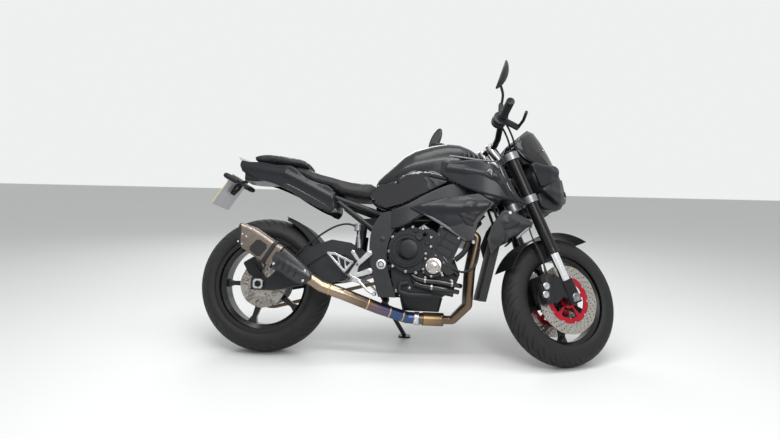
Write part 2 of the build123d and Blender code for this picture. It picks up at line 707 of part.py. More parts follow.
with BuildPart() as rear_caliper:
    with BuildSketch(side(REAR_DISC_OUT - 26)):
        with Locations((-52, 404)):
            RectangleRounded(64, 72, 10, rotation=32)
    extrude(amount=52)
    with BuildSketch(side(REAR_DISC_OUT + 20)):
        with Locations((0, rear_r)):
            Circle(26)
        with Locations((-48, 396)):
            Circle(20)
        make_hull()
    extrude(amount=ARM_RIGHT - ARM_THICK - GAP - REAR_DISC_OUT - 20)
    shaft(0, rear_r, REAR_AXLE / 2 + GAP, ARM_RIGHT, 0, Mode.SUBTRACT)
    slot_half = DISC_THICK / 2 + RUNNING
    shaft(0, rear_r, REAR_DISC / 2 + RUNNING, REAR_DISC_OUT + slot_half, slot_half - REAR_DISC_OUT, Mode.SUBTRACT)
    add(swingarm.part, mode=Mode.SUBTRACT)
keep(rear_caliper, "rear_caliper")

# Footrests and pedals on the pivot plates
with BuildPart() as footrests:
    plate([(514, 486), (530, 478), (474, 424), (530, 408), (526, 392), (448, 356), (334, 446), (330, 468), (440, 424)],
          PLATE_OUT, 12)
    round_bar([(452, -PLATE_OUT - 6, 372), (448, -PLATE_OUT - 90, 372)], 12, 1)
    mirror(about=Plane.XZ)
keep(footrests, "footrests")

# Fork: outer tubes, sliders and cast feet on the axle
with BuildPart() as fork_legs:
    for hand in (-1, 1):
        with BuildSketch(fork(TUBE_BOTTOM, hand * leg_out)) as outer:
            Circle(OUTER_TUBE / 2)
        extrude(outer.sketch, amount=TUBE_TOP - TUBE_BOTTOM)
        with BuildSketch(fork(20, hand * leg_out)) as slider:
            Circle(SLIDER / 2)
        extrude(slider.sketch, amount=TUBE_BOTTOM - 20)
        with BuildSketch(fork(-26, hand * leg_out)) as foot:
            RectangleRounded(62, 42, 14)
        extrude(foot.sketch, amount=112)
    shaft(front_axle.X, front_axle.Z, FRONT_AXLE / 2, leg_out, leg_out)
    shaft(front_axle.X, front_axle.Z, FRONT_AXLE_BORE / 2, leg_out + 30, leg_out + 30, Mode.SUBTRACT)
keep(fork_legs, "fork_legs", True)

with BuildPart() as fork_clamps:
    for up in (LOWER_CLAMP, UPPER_CLAMP):
        with BuildSketch(fork(up)) as clamp:
            for hand in (-1, 1):
                with Locations((0, hand * leg_out)):
                    Circle(OUTER_TUBE / 2 + CLAMP_WALL)
            Rectangle(CLAMP_DEEP, FORK_TRACK)
            with Locations((-FORK_OFFSET, 0)):
                Circle(HEAD_TUBE / 2)
        extrude(clamp.sketch, amount=CLAMP_THICK)
    add(fork_legs.part, mode=Mode.SUBTRACT)
keep(fork_clamps, "fork_clamps", True)

caliper_at = front_axle + Vector(-128, 0, 30)
with BuildPart() as front_calipers:
    with BuildSketch(side(FRONT_DISC_OUT - 36)):
        with Locations((caliper_at.X, caliper_at.Z)):
            RectangleRounded(70, 130, 16, rotation=CASTER - 11)
    extrude(amount=84)
    with BuildSketch(side(FRONT_DISC_OUT - DISC_THICK / 2 - RUNNING)):
        with Locations((front_axle.X, front_axle.Z)):
            Circle(FRONT_DISC / 2 + RUNNING)
    extrude(amount=DISC_THICK + 2 * RUNNING, mode=Mode.SUBTRACT)
    with BuildSketch(side(leg_out - 12)):
        with BuildLine():
            Polyline((1300, 400), (1345, 372), (1372, 330), (1372, 290), (1345, 300), (1300, 262), (1290, 330),
                     close=True)
        make_face()
    extrude(amount=22)
    mirror(about=Plane.XZ)
    add(fork_legs.part, mode=Mode.SUBTRACT)
keep(front_calipers, "front_calipers", True)

with BuildPart() as front_mudguard:
    guard = front_r + 12
    with BuildSketch(side(-leg_out + OUTER_TUBE / 2 + GAP)):
        with BuildLine():
            outer = CenterArc((front_axle.X, front_axle.Z), guard + PANEL, 66, 92)
            inner = CenterArc((front_axle.X, front_axle.Z), guard, 66, 92)
            Line(outer @ 0, inner @ 0)
            Line(outer @ 1, inner @ 1)
        make_face()
    extrude(amount=2 * leg_out - OUTER_TUBE - 2 * GAP)
keep(front_mudguard, "front_mudguard", True)

with BuildPart() as headlight_cowl:
    loft_boxes((
        (1208, 0, 236, 880, 950, 12), (1290, 0, 240, 790, 972, 14), (1370, 0, 200, 752, 946, 14),
        (1424, 0, 130, 760, 868, 12),
    ))
    with BuildSketch(side(-104)):
        with BuildLine():
            Polyline((1172, 1066), (1230, 1120), (1372, 948), (1340, 938), (1250, 1010), close=True)
        make_face()
    extrude(amount=208)
    for up in (LOWER_CLAMP, UPPER_CLAMP):
        with BuildSketch(fork(up, forward=CLAMP_DEEP / 2 + GAP)) as stay:
            with Locations((45, 0)):
                Rectangle(90, 60)
        extrude(stay.sketch, amount=CLAMP_THICK)
    add(fork_legs.part, mode=Mode.SUBTRACT)
keep(headlight_cowl, "headlight_cowl", True)

with BuildPart() as headlamps:
    for hand in (-1, 1):
        with BuildSketch(across(1404)) as lens:
            with Locations((hand * 46, 808)):
                Circle(LAMP / 2)
        extrude(lens.sketch, amount=26)
    add(headlight_cowl.part, mode=Mode.SUBTRACT)
keep(headlamps, "headlamps", True)

with BuildPart() as instrument:
    with BuildSketch(Plane(origin=(1204, 0, 1030), x_dir=(0, 1, 0), z_dir=(-0.7, 0, 0.7))):
        RectangleRounded(168, 86, 12)
    extrude(amount=28)
    with BuildSketch(Plane(origin=(1215, 0, 1000), x_dir=(0, 1, 0), z_dir=(0, 0, -1))) as stalk:
        Rectangle(60, 40)
    extrude(stalk.sketch, amount=70)
    add(headlight_cowl.part, mode=Mode.SUBTRACT)
keep(instrument, "instrument", True)

# Handlebar and what it carries
bar_path = [(932, -BAR_HALF, 1048), (972, -265, 1042), (1030, -130, 1014), (1048, -70, 1008)]
riser_top = Vector(1048, 0, 1008)
with BuildPart() as handlebar:
    mirrored = [(x, -y, z) for x, y, z in reversed(bar_path)]
    round_bar(bar_path + mirrored, BAR / 2, 30)
    for hand in (-1, 1):
        riser_foot = fork(UPPER_CLAMP + CLAMP_THICK + GAP, hand * 38, -18).origin
        with BuildSketch(Plane(origin=riser_foot, x_dir=ahead, z_dir=rise)) as riser:
            RectangleRounded(42, 26, 8)
        with BuildSketch(Plane(origin=riser_top + Vector(0, hand * 38, 8), x_dir=ahead, z_dir=rise)) as cap:
            RectangleRounded(38, 26, 8)
        loft([riser.sketch, cap.sketch])
keep(handlebar, "handlebar", True)

grip_end = Vector(*bar_path[0])
grip_line = (Vector(*bar_path[1]) - grip_end).normalized()
with BuildPart() as grips:
    round_bar([grip_end, grip_end + grip_line * GRIP_LONG], GRIP / 2, 1)
    mirror(about=Plane.XZ)
    add(handlebar.part, mode=Mode.SUBTRACT)
keep(grips, "grips", True)

perch = grip_end + grip_line * (GRIP_LONG + 24)
mirror_root = perch + Vector(0, 0, 48)
with BuildPart() as hand_controls:
    round_bar([perch - grip_line * 22, perch + grip_line * 22], 24, 1)
    round_bar([perch, perch + Vector(86, 6, -22)], 14, 1)
    round_bar([perch + Vector(86, 6, -22), perch + Vector(72, -60, -20), grip_end + Vector(86, 16, -26)], 7, 30)
    round_bar([perch, mirror_root], 8, 1)
    mirror(about=Plane.XZ)
    add(handlebar.part, mode=Mode.SUBTRACT)
keep(hand_controls, "hand_controls", True)

mirror_foot = mirror_root + Vector(0, 0, GAP)
with BuildPart() as mirrors:
    round_bar([mirror_foot, mirror_foot + Vector(0, 0, 14), mirror_foot + Vector(-6, -30, 50), mirror_foot + Vector(-20, -72, 104)], 6, 20)
    with BuildSketch(Plane(origin=mirror_foot + Vector(-12, -92, 128), x_dir=(0, -0.3, 0.95), z_dir=(-1, 0, 0.2))):
        Ellipse(84, 42)
    extrude(amount=24, taper=12)
    mirror(about=Plane.XZ)
keep(mirrors, "mirrors", True)

with BuildPart() as brake_hoses:
    top = fork(LOWER_CLAMP - GAP, -52, -14).origin
    round_bar([tuple(top), tuple(fork(330, -78, -52).origin), tuple(fork(200, -92, -64).origin),
               (caliper_at.X + 6, -96, caliper_at.Z + 66)], 3.5, 40)
    mirror(about=Plane.XZ)
    add(front_calipers.part, mode=Mode.SUBTRACT)
keep(brake_hoses, "brake_hoses", True)


# Side stand, drawn to the ground under the parked machine
with BuildPart() as side_stand:
    round_bar([stand_pivot, foot_point + ground_up * 10], STAND_LEG / 2, 1)
    with BuildSketch(Plane(origin=foot_point, x_dir=(1, 0, 0), z_dir=ground_up)):
        RectangleRounded(62, 44, 14)
    extrude(amount=8)
    with BuildSketch(Plane(origin=stand_pivot, z_dir=stand_axis)):
        Circle(17)
    extrude(amount=STAND_LEG / 2, both=True)
keep(side_stand, "side_stand")

os.makedirs("parts", exist_ok=True)
placed = [(piece.moved(parked * lock if turns else parked), piece.label) for piece, turns in pieces]
boxes = [piece.bounding_box() for piece, _ in placed]
middle_x = (min(box.min.X for box in boxes) + max(box.max.X for box in boxes)) / 2
middle_y = (min(box.min.Y for box in boxes) + max(box.max.Y for box in boxes)) / 2
middle = Location((-middle_x, -middle_y, 0))
for piece, name in placed:
    piece = piece.moved(middle)
    piece.label = name
    export_step(piece, f"parts/{name}.step")

steering_frame = middle * parked
wheel_frame = middle * parked * lock
points = {
    "rear_axle": carried(steering_frame, rear_axle), "front_axle": carried(wheel_frame, front_axle),
    "steering": carried(steering_frame, steering_foot), "stand": carried(steering_frame, stand_pivot),
    "cap hinge": carried(steering_frame, (cap_x + 44, 0, cap_z)),
    "pivot bore": carried(steering_frame, (PIVOT_X, 0, PIVOT_Z)),
}
for name, point in points.items():
    print(name, point)
print("stand axis", carried(steering_frame, stand_pivot + stand_axis) - points["stand"])
print("steering axis", carried(steering_frame, steering_foot + rise) - points["steering"])
print("rear spin", carried(steering_frame, rear_axle + Vector(0, 1, 0)) - points["rear_axle"])
print("front spin", carried(wheel_frame, front_axle + Vector(0, 1, 0)) - points["front_axle"])
print("cap axis", carried(steering_frame, (cap_x, 1, cap_z)) - carried(steering_frame, (cap_x, 0, cap_z)))
print("nose down", nose_down, "foot", foot_point, "lowest", min(box.min.Z for box in boxes))
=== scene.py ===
import json
import math

import bmesh
import bpy
from mathutils import Matrix, Vector, geometry


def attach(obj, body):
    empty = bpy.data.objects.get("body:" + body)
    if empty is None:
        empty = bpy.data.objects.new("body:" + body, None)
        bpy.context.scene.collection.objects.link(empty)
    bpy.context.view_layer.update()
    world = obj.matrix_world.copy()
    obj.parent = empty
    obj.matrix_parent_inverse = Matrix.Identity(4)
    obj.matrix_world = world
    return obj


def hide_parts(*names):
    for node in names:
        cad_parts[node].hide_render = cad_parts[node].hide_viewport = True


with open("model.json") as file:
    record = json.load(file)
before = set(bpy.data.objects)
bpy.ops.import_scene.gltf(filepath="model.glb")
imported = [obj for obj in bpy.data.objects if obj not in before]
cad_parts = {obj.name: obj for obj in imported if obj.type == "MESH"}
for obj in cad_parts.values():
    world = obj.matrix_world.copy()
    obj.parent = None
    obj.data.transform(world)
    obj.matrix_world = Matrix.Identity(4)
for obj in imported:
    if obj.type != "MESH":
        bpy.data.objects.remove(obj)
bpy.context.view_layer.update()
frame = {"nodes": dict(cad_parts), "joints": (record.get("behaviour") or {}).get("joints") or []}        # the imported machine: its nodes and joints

nodes = frame["nodes"]

# The machine's own frames: the chassis leans on its stand and the fork rests on its left lock.
# Both are read from the joints, and every piece below is drawn in them in millimetres, upright
# and straight ahead: x forward from the rear axle, y to the left, z up from the tyres' ground line.
joints = {joint["name"]: joint for joint in frame["joints"]}
caster = math.radians(24)
wheelbase = 1400
front_radius = 299.9
rear_radius = 320.4


def upright(axle, rise, foot):
    """The placement of a frame from its wheel's axle direction, the fork's line and a point's place."""
    across = Vector(axle).normalized()
    up = (Vector(rise) - across * across.dot(Vector(rise))).normalized()
    ahead = across.cross(up)
    forward = ahead * math.cos(caster) - up * math.sin(caster)
    upward = ahead * math.sin(caster) + up * math.cos(caster)
    turn = Matrix((forward, across, upward)).transposed()
    origin = Vector(foot[0]) - turn @ (Vector(foot[1]) / 1000)
    return Matrix.Translation(origin) @ turn.to_4x4() @ Matrix.Scale(0.001, 4)


fork_line = -Vector(joints["steering_turn"]["axis"])
chassis = upright(joints["rear_wheel_spin"]["axis"], fork_line,
                  (joints["rear_wheel_spin"]["pos_m"], (0, 0, rear_radius)))
fork = upright(joints["front_wheel_spin"]["axis"], fork_line,
               (joints["front_wheel_spin"]["pos_m"], (wheelbase, 0, front_radius)))


# The floor and the light: a pale plain floor under a soft white tent, with four broad lamps round
# the machine, as in a plain studio. The white that the camera and the gloss see is the tent's.
def shader(name):
    """A new material, its node tree and its surface shader."""
    material = bpy.data.materials.new(name)
    material.use_nodes = True
    tree = material.node_tree
    return material, tree, tree.nodes["Principled BSDF"]


def link(tree, source, target):
    tree.links.new(source, target)


def add_node(tree, kind, **settings):
    node = tree.nodes.new(kind)
    for key, value in settings.items():
        if hasattr(node, key):
            setattr(node, key, value)
        else:
            node.inputs[key.replace("_", " ")].default_value = value
    return node


floor_half = 14
bpy.ops.mesh.primitive_grid_add(size=2 * floor_half, x_subdivisions=8, y_subdivisions=8)
floor = bpy.context.object
floor.name = "studio_floor"
floor_paint, tree, surface = shader("pale_floor")
surface.inputs["Roughness"].default_value = 0.6
speckle = add_node(tree, "ShaderNodeTexNoise", Scale=3.0)
tone = add_node(tree, "ShaderNodeValToRGB")
tone.color_ramp.elements[0].color = (0.66, 0.67, 0.67, 1)
tone.color_ramp.elements[1].color = (0.72, 0.72, 0.71, 1)
link(tree, speckle.outputs["Fac"], tone.inputs["Fac"])
link(tree, tone.outputs["Color"], surface.inputs["Base Color"])
floor.data.materials.append(floor_paint)

world = bpy.data.worlds.new("studio_world")
bpy.context.scene.world = world
world.use_nodes = True
tree = world.node_tree
sky = tree.nodes["Background"]
sky.inputs["Color"].default_value = (0.86, 0.87, 0.87, 1)
path = add_node(tree, "ShaderNodeLightPath")
seen = add_node(tree, "ShaderNodeMath", operation="MAXIMUM")
clear = add_node(tree, "ShaderNodeMath", operation="MAXIMUM")
level = add_node(tree, "ShaderNodeMapRange")
level.inputs["To Min"].default_value = 0.62
level.inputs["To Max"].default_value = 1.0
link(tree, path.outputs["Is Camera Ray"], seen.inputs[0])
link(tree, path.outputs["Is Glossy Ray"], seen.inputs[1])
link(tree, seen.outputs[0], clear.inputs[0])
link(tree, path.outputs["Is Transmission Ray"], clear.inputs[1])
link(tree, clear.outputs[0], level.inputs["Value"])
link(tree, level.outputs["Result"], sky.inputs["Strength"])


def lamp(name, place, aim, size, watts):
    """A broad soft lamp at a place, turned to a point."""
    light = bpy.data.lights.new(name, "AREA")
    light.shape = "RECTANGLE"
    light.size, light.size_y = size
    light.energy = watts
    holder = bpy.data.objects.new(name, light)
    holder.location = place
    holder.rotation_euler = (Vector(aim) - Vector(place)).to_track_quat("-Z", "Y").to_euler()
    bpy.context.scene.collection.objects.link(holder)


lamp("lamp_over", (0.2, -0.6, 3.4), (0, 0, 0.5), (3.2, 1.2), 70)
lamp("lamp_right", (1.2, -3.4, 2.6), (0.1, 0, 0.6), (1.6, 1.6), 55)
lamp("lamp_left", (-1.0, 3.2, 2.4), (0, 0, 0.6), (2.4, 1.4), 45)
lamp("lamp_strip", (-0.2, -1.6, 2.3), (0, 0, 0.8), (2.4, 0.22), 26)

# The camera stands at the photograph's place, which is known in the chassis frame. Its lens, turn,
# level and roll are those that were fitted to the photograph's two wheels.
eye = bpy.data.cameras.new("photo_camera")
eye.sensor_width = 36
eye.lens = 25.511
camera = bpy.data.objects.new("photo_camera", eye)
yaw, down, roll = 0.08041, 0.10456, -0.01803
aim = (Matrix.Rotation(yaw, 4, "Z") @ Matrix.Rotation(-down, 4, "X") @ Matrix.Rotation(roll, 4, "Y")
       @ Matrix.Rotation(math.pi / 2, 4, "X"))
camera.matrix_world = Matrix.Translation(chassis @ Vector((804.5, -2666.4, 295.6))) @ aim
bpy.context.scene.collection.objects.link(camera)
bpy.context.scene.camera = camera
bpy.context.scene.view_settings.view_transform = "Standard"

# Materials: each finish is a small node tree. A fine noise breaks up its colour and roughness a
# little, as cast, sprayed or moulded surfaces have, and a second one gives the grain.
def finish(name, colour, roughness, metallic=0.0, grain=0.0, scale=40.0, spread=0.12, coat=0.0, level=0.3):
    """A surface of one colour whose tone and roughness drift a little, with a fine grain."""
    material, tree, surface = shader(name)
    place = add_node(tree, "ShaderNodeTexCoord")
    drift = add_node(tree, "ShaderNodeTexNoise", Scale=scale, Detail=4.0)
    tone = add_node(tree, "ShaderNodeValToRGB")
    tone.color_ramp.elements[0].position = 0.3
    tone.color_ramp.elements[1].position = 0.7
    low = [channel * (1 - spread) for channel in colour]
    high = [min(1.0, channel * (1 + spread)) for channel in colour]
    tone.color_ramp.elements[0].color = (*low, 1)
    tone.color_ramp.elements[1].color = (*high, 1)
    rough = add_node(tree, "ShaderNodeMapRange")
    rough.inputs["To Min"].default_value = roughness * 0.9
    rough.inputs["To Max"].default_value = min(1.0, roughness * 1.12)
    link(tree, place.outputs["Object"], drift.inputs["Vector"])
    link(tree, drift.outputs["Fac"], tone.inputs["Fac"])
    link(tree, tone.outputs["Color"], surface.inputs["Base Color"])
    link(tree, drift.outputs["Fac"], rough.inputs["Value"])
    link(tree, rough.outputs["Result"], surface.inputs["Roughness"])
    surface.inputs["Metallic"].default_value = metallic
    surface.inputs["Coat Weight"].default_value = coat
    surface.inputs["Coat Roughness"].default_value = 0.06
    surface.inputs["Specular IOR Level"].default_value = level
    if grain:
        fine = add_node(tree, "ShaderNodeTexNoise", Scale=900.0, Detail=2.0)
        bump = add_node(tree, "ShaderNodeBump", Strength=grain, Distance=0.0006)
        link(tree, place.outputs["Object"], fine.inputs["Vector"])
        link(tree, fine.outputs["Fac"], bump.inputs["Height"])
        link(tree, bump.outputs["Normal"], surface.inputs["Normal"])
    return material


tank_paint = finish("tank_satin_black", (0.011, 0.0115, 0.013), 0.27, 0.0, 0.0, 12, 0.05, 0.1, 0.3)
gloss_black = finish("gloss_black", (0.006, 0.006, 0.0075), 0.14, 0.0, 0.0, 10, 0.05, 0.2, 0.5)
satin_black = finish("satin_black_plastic", (0.014, 0.015, 0.017), 0.4, 0.0, 0.25, 30)
panel_grey = finish("satin_dark_panel", (0.011, 0.0118, 0.0145), 0.3, 0.0, 0.0, 14, 0.05, 0.05, 0.26)
matt_black = finish("matt_black_plastic", (0.01, 0.01, 0.011), 0.6, 0.0, 0.4, 30)
frame_satin = finish("frame_satin_black", (0.016, 0.017, 0.019), 0.42, 0.0, 0.2, 24)
engine_satin = finish("engine_satin_charcoal", (0.016, 0.0165, 0.0185), 0.38, 0.3, 0.3, 30)
silver = finish("bare_silver_metal", (0.54, 0.54, 0.55), 0.28, 0.95, 0.3, 30)
polished = finish("polished_fork_tube", (0.82, 0.83, 0.84), 0.12, 1.0, 0.0, 60, 0.04)
black_tube = finish("black_anodised_tube", (0.012, 0.012, 0.013), 0.24, 0.3, 0.0, 40)
disc_steel = finish("disc_steel", (0.4, 0.375, 0.345), 0.3, 0.95, 0.15, 80)
red_anodised = finish("red_anodised", (0.46, 0.02, 0.035), 0.32, 0.8, 0.0, 40)
chain_gold = finish("gold_chain_steel", (0.2, 0.16, 0.1), 0.34, 0.9, 0.2, 60)
sprocket_steel = finish("sprocket_steel", (0.5, 0.5, 0.5), 0.34, 0.9, 0.2, 60)
titanium = finish("brushed_titanium", (0.19, 0.16, 0.135), 0.3, 0.85, 0.2, 60)
rubber = finish("hose_rubber", (0.01, 0.01, 0.011), 0.5, 0.0, 0.3, 60)
tyre_rubber = finish("tyre_rubber", (0.014, 0.014, 0.015), 0.62, 0.0, 0.4, 40, 0.15, 0.0, 0.25)
bolt_steel = finish("bolt_steel", (0.32, 0.32, 0.33), 0.34, 0.9, 0.0, 60)
cover_chrome = finish("ignition_chrome", (0.5, 0.475, 0.445), 0.17, 1.0, 0.0, 60)
# edge_grey is the light grey of the tank's painted edge highlight, and also of the light strips on the duct and
# radiator covers.
edge_grey = finish("edge_grey", (0.14, 0.145, 0.15), 0.3, 0.3, 0.0, 30)
clamp_grey = finish("cast_grey_clamp", (0.24, 0.25, 0.26), 0.36, 0.8, 0.3, 30)
vinyl = finish("seat_vinyl", (0.012, 0.012, 0.0135), 0.5, 0.0, 0.0, 30)
wheel_paint = finish("wheel_gloss_black", (0.006, 0.006, 0.007), 0.2, 0.0, 0.0, 20, 0.06, 0.0, 0.4)
lamp_body = finish("lamp_chrome", (0.8, 0.82, 0.84), 0.12, 1.0, 0.0, 30, 0.04)
tail_red = finish("tail_lens_red", (0.34, 0.008, 0.014), 0.14, 0.0, 0.0, 30, 0.1, 0.5)
plate_white = finish("plate_back_grey", (0.5, 0.51, 0.53), 0.42, 0.3, 0.1, 20, 0.06)
plate_yellow = finish("plate_yellow", (0.78, 0.58, 0.05), 0.4, 0.0, 0.0, 20, 0.05)


# Exhaust steel: heat has turned the pipes bronze, violet and blue in bands along their run.
def heated(name, spans, roughness):
    """A metal whose tint follows the distance along the machine, from its rear to its front."""
    material, tree, surface = shader(name)
    place = add_node(tree, "ShaderNodeTexCoord")
    turn = add_node(tree, "ShaderNodeSeparateXYZ")
    drift = add_node(tree, "ShaderNodeTexNoise", Scale=18.0, Detail=3.0)
    wave = add_node(tree, "ShaderNodeMath", operation="MULTIPLY_ADD")
    wave.inputs[1].default_value = 0.06
    run = add_node(tree, "ShaderNodeMapRange")
    run.inputs["From Min"].default_value = spans[0]
    run.inputs["From Max"].default_value = spans[1]
    tint = add_node(tree, "ShaderNodeValToRGB")
    while len(tint.color_ramp.elements) < len(spans[2]):
        tint.color_ramp.elements.new(0.5)
    for element, (position, colour) in zip(tint.color_ramp.elements, spans[2]):
        element.position = position
        element.color = (*colour, 1)
    link(tree, place.outputs["Object"], turn.inputs["Vector"])
    link(tree, place.outputs["Object"], drift.inputs["Vector"])
    link(tree, drift.outputs["Fac"], wave.inputs[0])
    link(tree, turn.outputs["X"], wave.inputs[2])
    link(tree, wave.outputs[0], run.inputs["Value"])
    link(tree, run.outputs["Result"], tint.inputs["Fac"])
    link(tree, tint.outputs["Color"], surface.inputs["Base Color"])
    surface.inputs["Metallic"].default_value = 0.9
    surface.inputs["Roughness"].default_value = roughness
    return material


bronze, violet, blue, gold = (0.15, 0.105, 0.07), (0.15, 0.1, 0.13), (0.05, 0.085, 0.19), (0.34, 0.22, 0.1)
header_steel = heated("header_heat_tint", (0.1, 0.55, (
    (0.0, gold), (0.25, bronze), (0.5, bronze), (0.8, bronze), (1.0, gold))), 0.3)
link_steel = heated("link_heat_tint", (-0.25, 0.12, (
    (0.0, (0.3, 0.235, 0.17)), (0.25, bronze), (0.45, violet), (0.6, blue), (0.85, blue),
    (1.0, bronze))), 0.26)

coats = {
    "front_tyre": tyre_rubber, "rear_tyre": tyre_rubber, "front_rim": wheel_paint, "rear_rim": wheel_paint,
    "front_discs": disc_steel, "disc_carriers": red_anodised, "rear_disc": disc_steel,
    "rear_sprocket": sprocket_steel, "drive_chain": chain_gold, "main_frame": frame_satin,
    "swingarm": frame_satin, "rear_shock": black_tube, "engine_case": engine_satin,
    "cylinders": engine_satin, "engine_covers": engine_satin, "ignition_cover": engine_satin,
    "coolant_hoses": rubber, "radiator": matt_black, "radiator_covers": satin_black,
    "exhaust_headers": header_steel, "silencer": satin_black, "silencer_trim": silver,
    "link_pipe": link_steel, "fuel_tank": tank_paint, "fuel_cap": satin_black,
    "tank_side_covers": gloss_black, "air_scoops": panel_grey, "duct_covers": panel_grey,
    "subframe": satin_black, "seats": vinyl, "tail_cowl": panel_grey, "tail_lamp": tail_red,
    "plate_bracket": matt_black, "number_plate": plate_white, "rear_mudguard": matt_black,
    "rear_caliper": engine_satin, "footrests": silver, "fork_legs": black_tube,
    "fork_clamps": clamp_grey, "front_calipers": engine_satin, "front_mudguard": satin_black,
    "headlight_cowl": panel_grey, "headlamps": lamp_body, "instrument": matt_black,
    "handlebar": black_tube, "grips": rubber, "hand_controls": satin_black, "mirrors": satin_black,
    "brake_hoses": rubber, "side_stand": frame_satin,
}
for name, coat in coats.items():
    nodes[name].data.materials.clear()
    nodes[name].data.materials.append(coat)

# Tyres: black radial rubber, a low crown with sheared water grooves cut in pairs from the middle to
# the shoulders, smooth side walls with two thin rings and a bead that sits on the rim.
def piece(name, points, faces, coat, body, place=chassis, smooth=True):
    """A mesh drawn in millimetres in one of the machine's frames, which rides on a body."""
    mesh = bpy.data.meshes.new(name)
    mesh.from_pydata([place @ Vector(point) for point in points], [], faces)
    shape = bmesh.new()
    shape.from_mesh(mesh)
    bmesh.ops.recalc_face_normals(shape, faces=shape.faces)
    for face in shape.faces:
        face.smooth = smooth
    for edge in shape.edges:
        if len(edge.link_faces) == 2 and edge.calc_face_angle(0) > math.radians(38):
            edge.smooth = False
    shape.to_mesh(mesh)
    shape.free()
    mesh.materials.append(coat)
    thing = bpy.data.objects.new(name, mesh)
    bpy.context.scene.collection.objects.link(thing)
    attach(thing, body)
    return thing


def joined(name, parts, coat, body, place=chassis, smooth=True):
    """Several (points, faces) sets as one piece."""
    points, faces = [], []
    for part_points, part_faces in parts:
        start = len(points)
        points += part_points
        faces += [tuple(start + corner for corner in face) for face in part_faces]
    return piece(name, points, faces, coat, body, place, smooth)


def between(table, x):
    """The value at x on straight lines between (x, value) pairs that rise in x."""
    if x <= table[0][0]:
        return table[0][1]
    for (a, low), (b, high) in zip(table, table[1:]):
        if x <= b:
            return low + (high - low) * (x - a) / (b - a)
    return table[-1][1]


def tyre(name, node, body, place, axle, radius, half, drop, bead, repeats):
    """A tyre turned about its axle, with a groove pair in every repeat of its tread."""
    crown = ((half * half) + drop * drop) / (2 * drop)
    shoulder = half - 3
    rows = []
    for step in range(29):
        across = -shoulder + 2 * shoulder * step / 28
        rows.append((across, radius - crown + math.sqrt(crown * crown - across * across), True))
    wall = [(half, 0.97 * drop), (half + 0.5, drop + 10), (half - 1, drop + 20), (half - 1.6, drop + 21),
            (half - 5, drop + 30), (half - 9, drop + 33), (bead, radius - 229)]
    right = [(across, radius - down, False) for across, down in wall]
    rows = [(-across, up, cut) for across, up, cut in reversed(right)] + rows + right
    columns = (0.0, 0.02, 0.1, 0.12, 0.3, 0.5, 0.52, 0.58, 0.6, 0.8)
    cuts = {1: (0.1, 0.72), 2: (0.1, 0.72), 6: (0.45, 0.9), 7: (0.45, 0.9)}
    points = []
    for repeat in range(repeats):
        for index, share in enumerate(columns):
            for across, up, tread in rows:
                angle = 2 * math.pi * (repeat + share) / repeats
                deep = 0
                if tread:
                    angle += abs(across) / half * 0.34
                    if across < 0:
                        angle += math.pi / repeats
                    low, high = cuts.get(index, (2, 3))
                    if low <= abs(across) / half <= high:
                        deep = 4
                else:
                    angle += 0.34 * (shoulder / half)
                    if across < 0:
                        angle += math.pi / repeats
                out = up - deep
                points.append((axle[0] + out * math.sin(angle), across, axle[1] + out * math.cos(angle)))
    count = len(rows)
    total = repeats * len(columns)
    faces = []
    for column in range(total):
        after = (column + 1) % total
        for row in range(count - 1):
            faces.append((column * count + row, after * count + row, after * count + row + 1,
                          column * count + row + 1))
    thing = piece(name, points, faces, tyre_rubber, body, place)
    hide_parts(node)
    return thing


tyre("front_tyre_tread", "front_tyre", "front_wheel", fork, (wheelbase, front_radius), 299.9, 60, 60, 46, 26)
tyre("rear_tyre_tread", "rear_tyre", "rear_wheel", chassis, (0, rear_radius), 320.4, 95, 58.4, 77, 24)


# Bodywork: pressed and moulded panels with rolled edges, drawn by their outline from the side and
# by how far out they stand. Each lies as a skin over the solid that carries it, on both sides.
def rounded(outline, passes=2):
    """The outline with its corners cut back by a share of each side, once a pass."""
    for _ in range(passes):
        cut = []
        for (x, z), (u, w) in zip(outline, outline[1:] + outline[:1]):
            cut += [(x * 0.82 + u * 0.18, z * 0.82 + w * 0.18), (x * 0.18 + u * 0.82, z * 0.18 + w * 0.82)]
        outline = cut
    return outline


def spaced(outline, step):
    """The closed outline with points no further apart than a step."""
    points = []
    for a, b in zip(outline, outline[1:] + outline[:1]):
        length = math.dist(a, b)
        for part in range(max(1, math.ceil(length / step))):
            share = part / max(1, math.ceil(length / step))
            points.append((a[0] + (b[0] - a[0]) * share, a[1] + (b[1] - a[1]) * share))
    return points


def line_distance(p, a, b):
    """How far a point lies from the straight line between two others."""
    run = (b[0] - a[0], b[1] - a[1])
    size = run[0] ** 2 + run[1] ** 2 or 1
    share = max(0, min(1, ((p[0] - a[0]) * run[0] + (p[1] - a[1]) * run[1]) / size))
    return math.dist(p, (a[0] + run[0] * share, a[1] + run[1] * share))


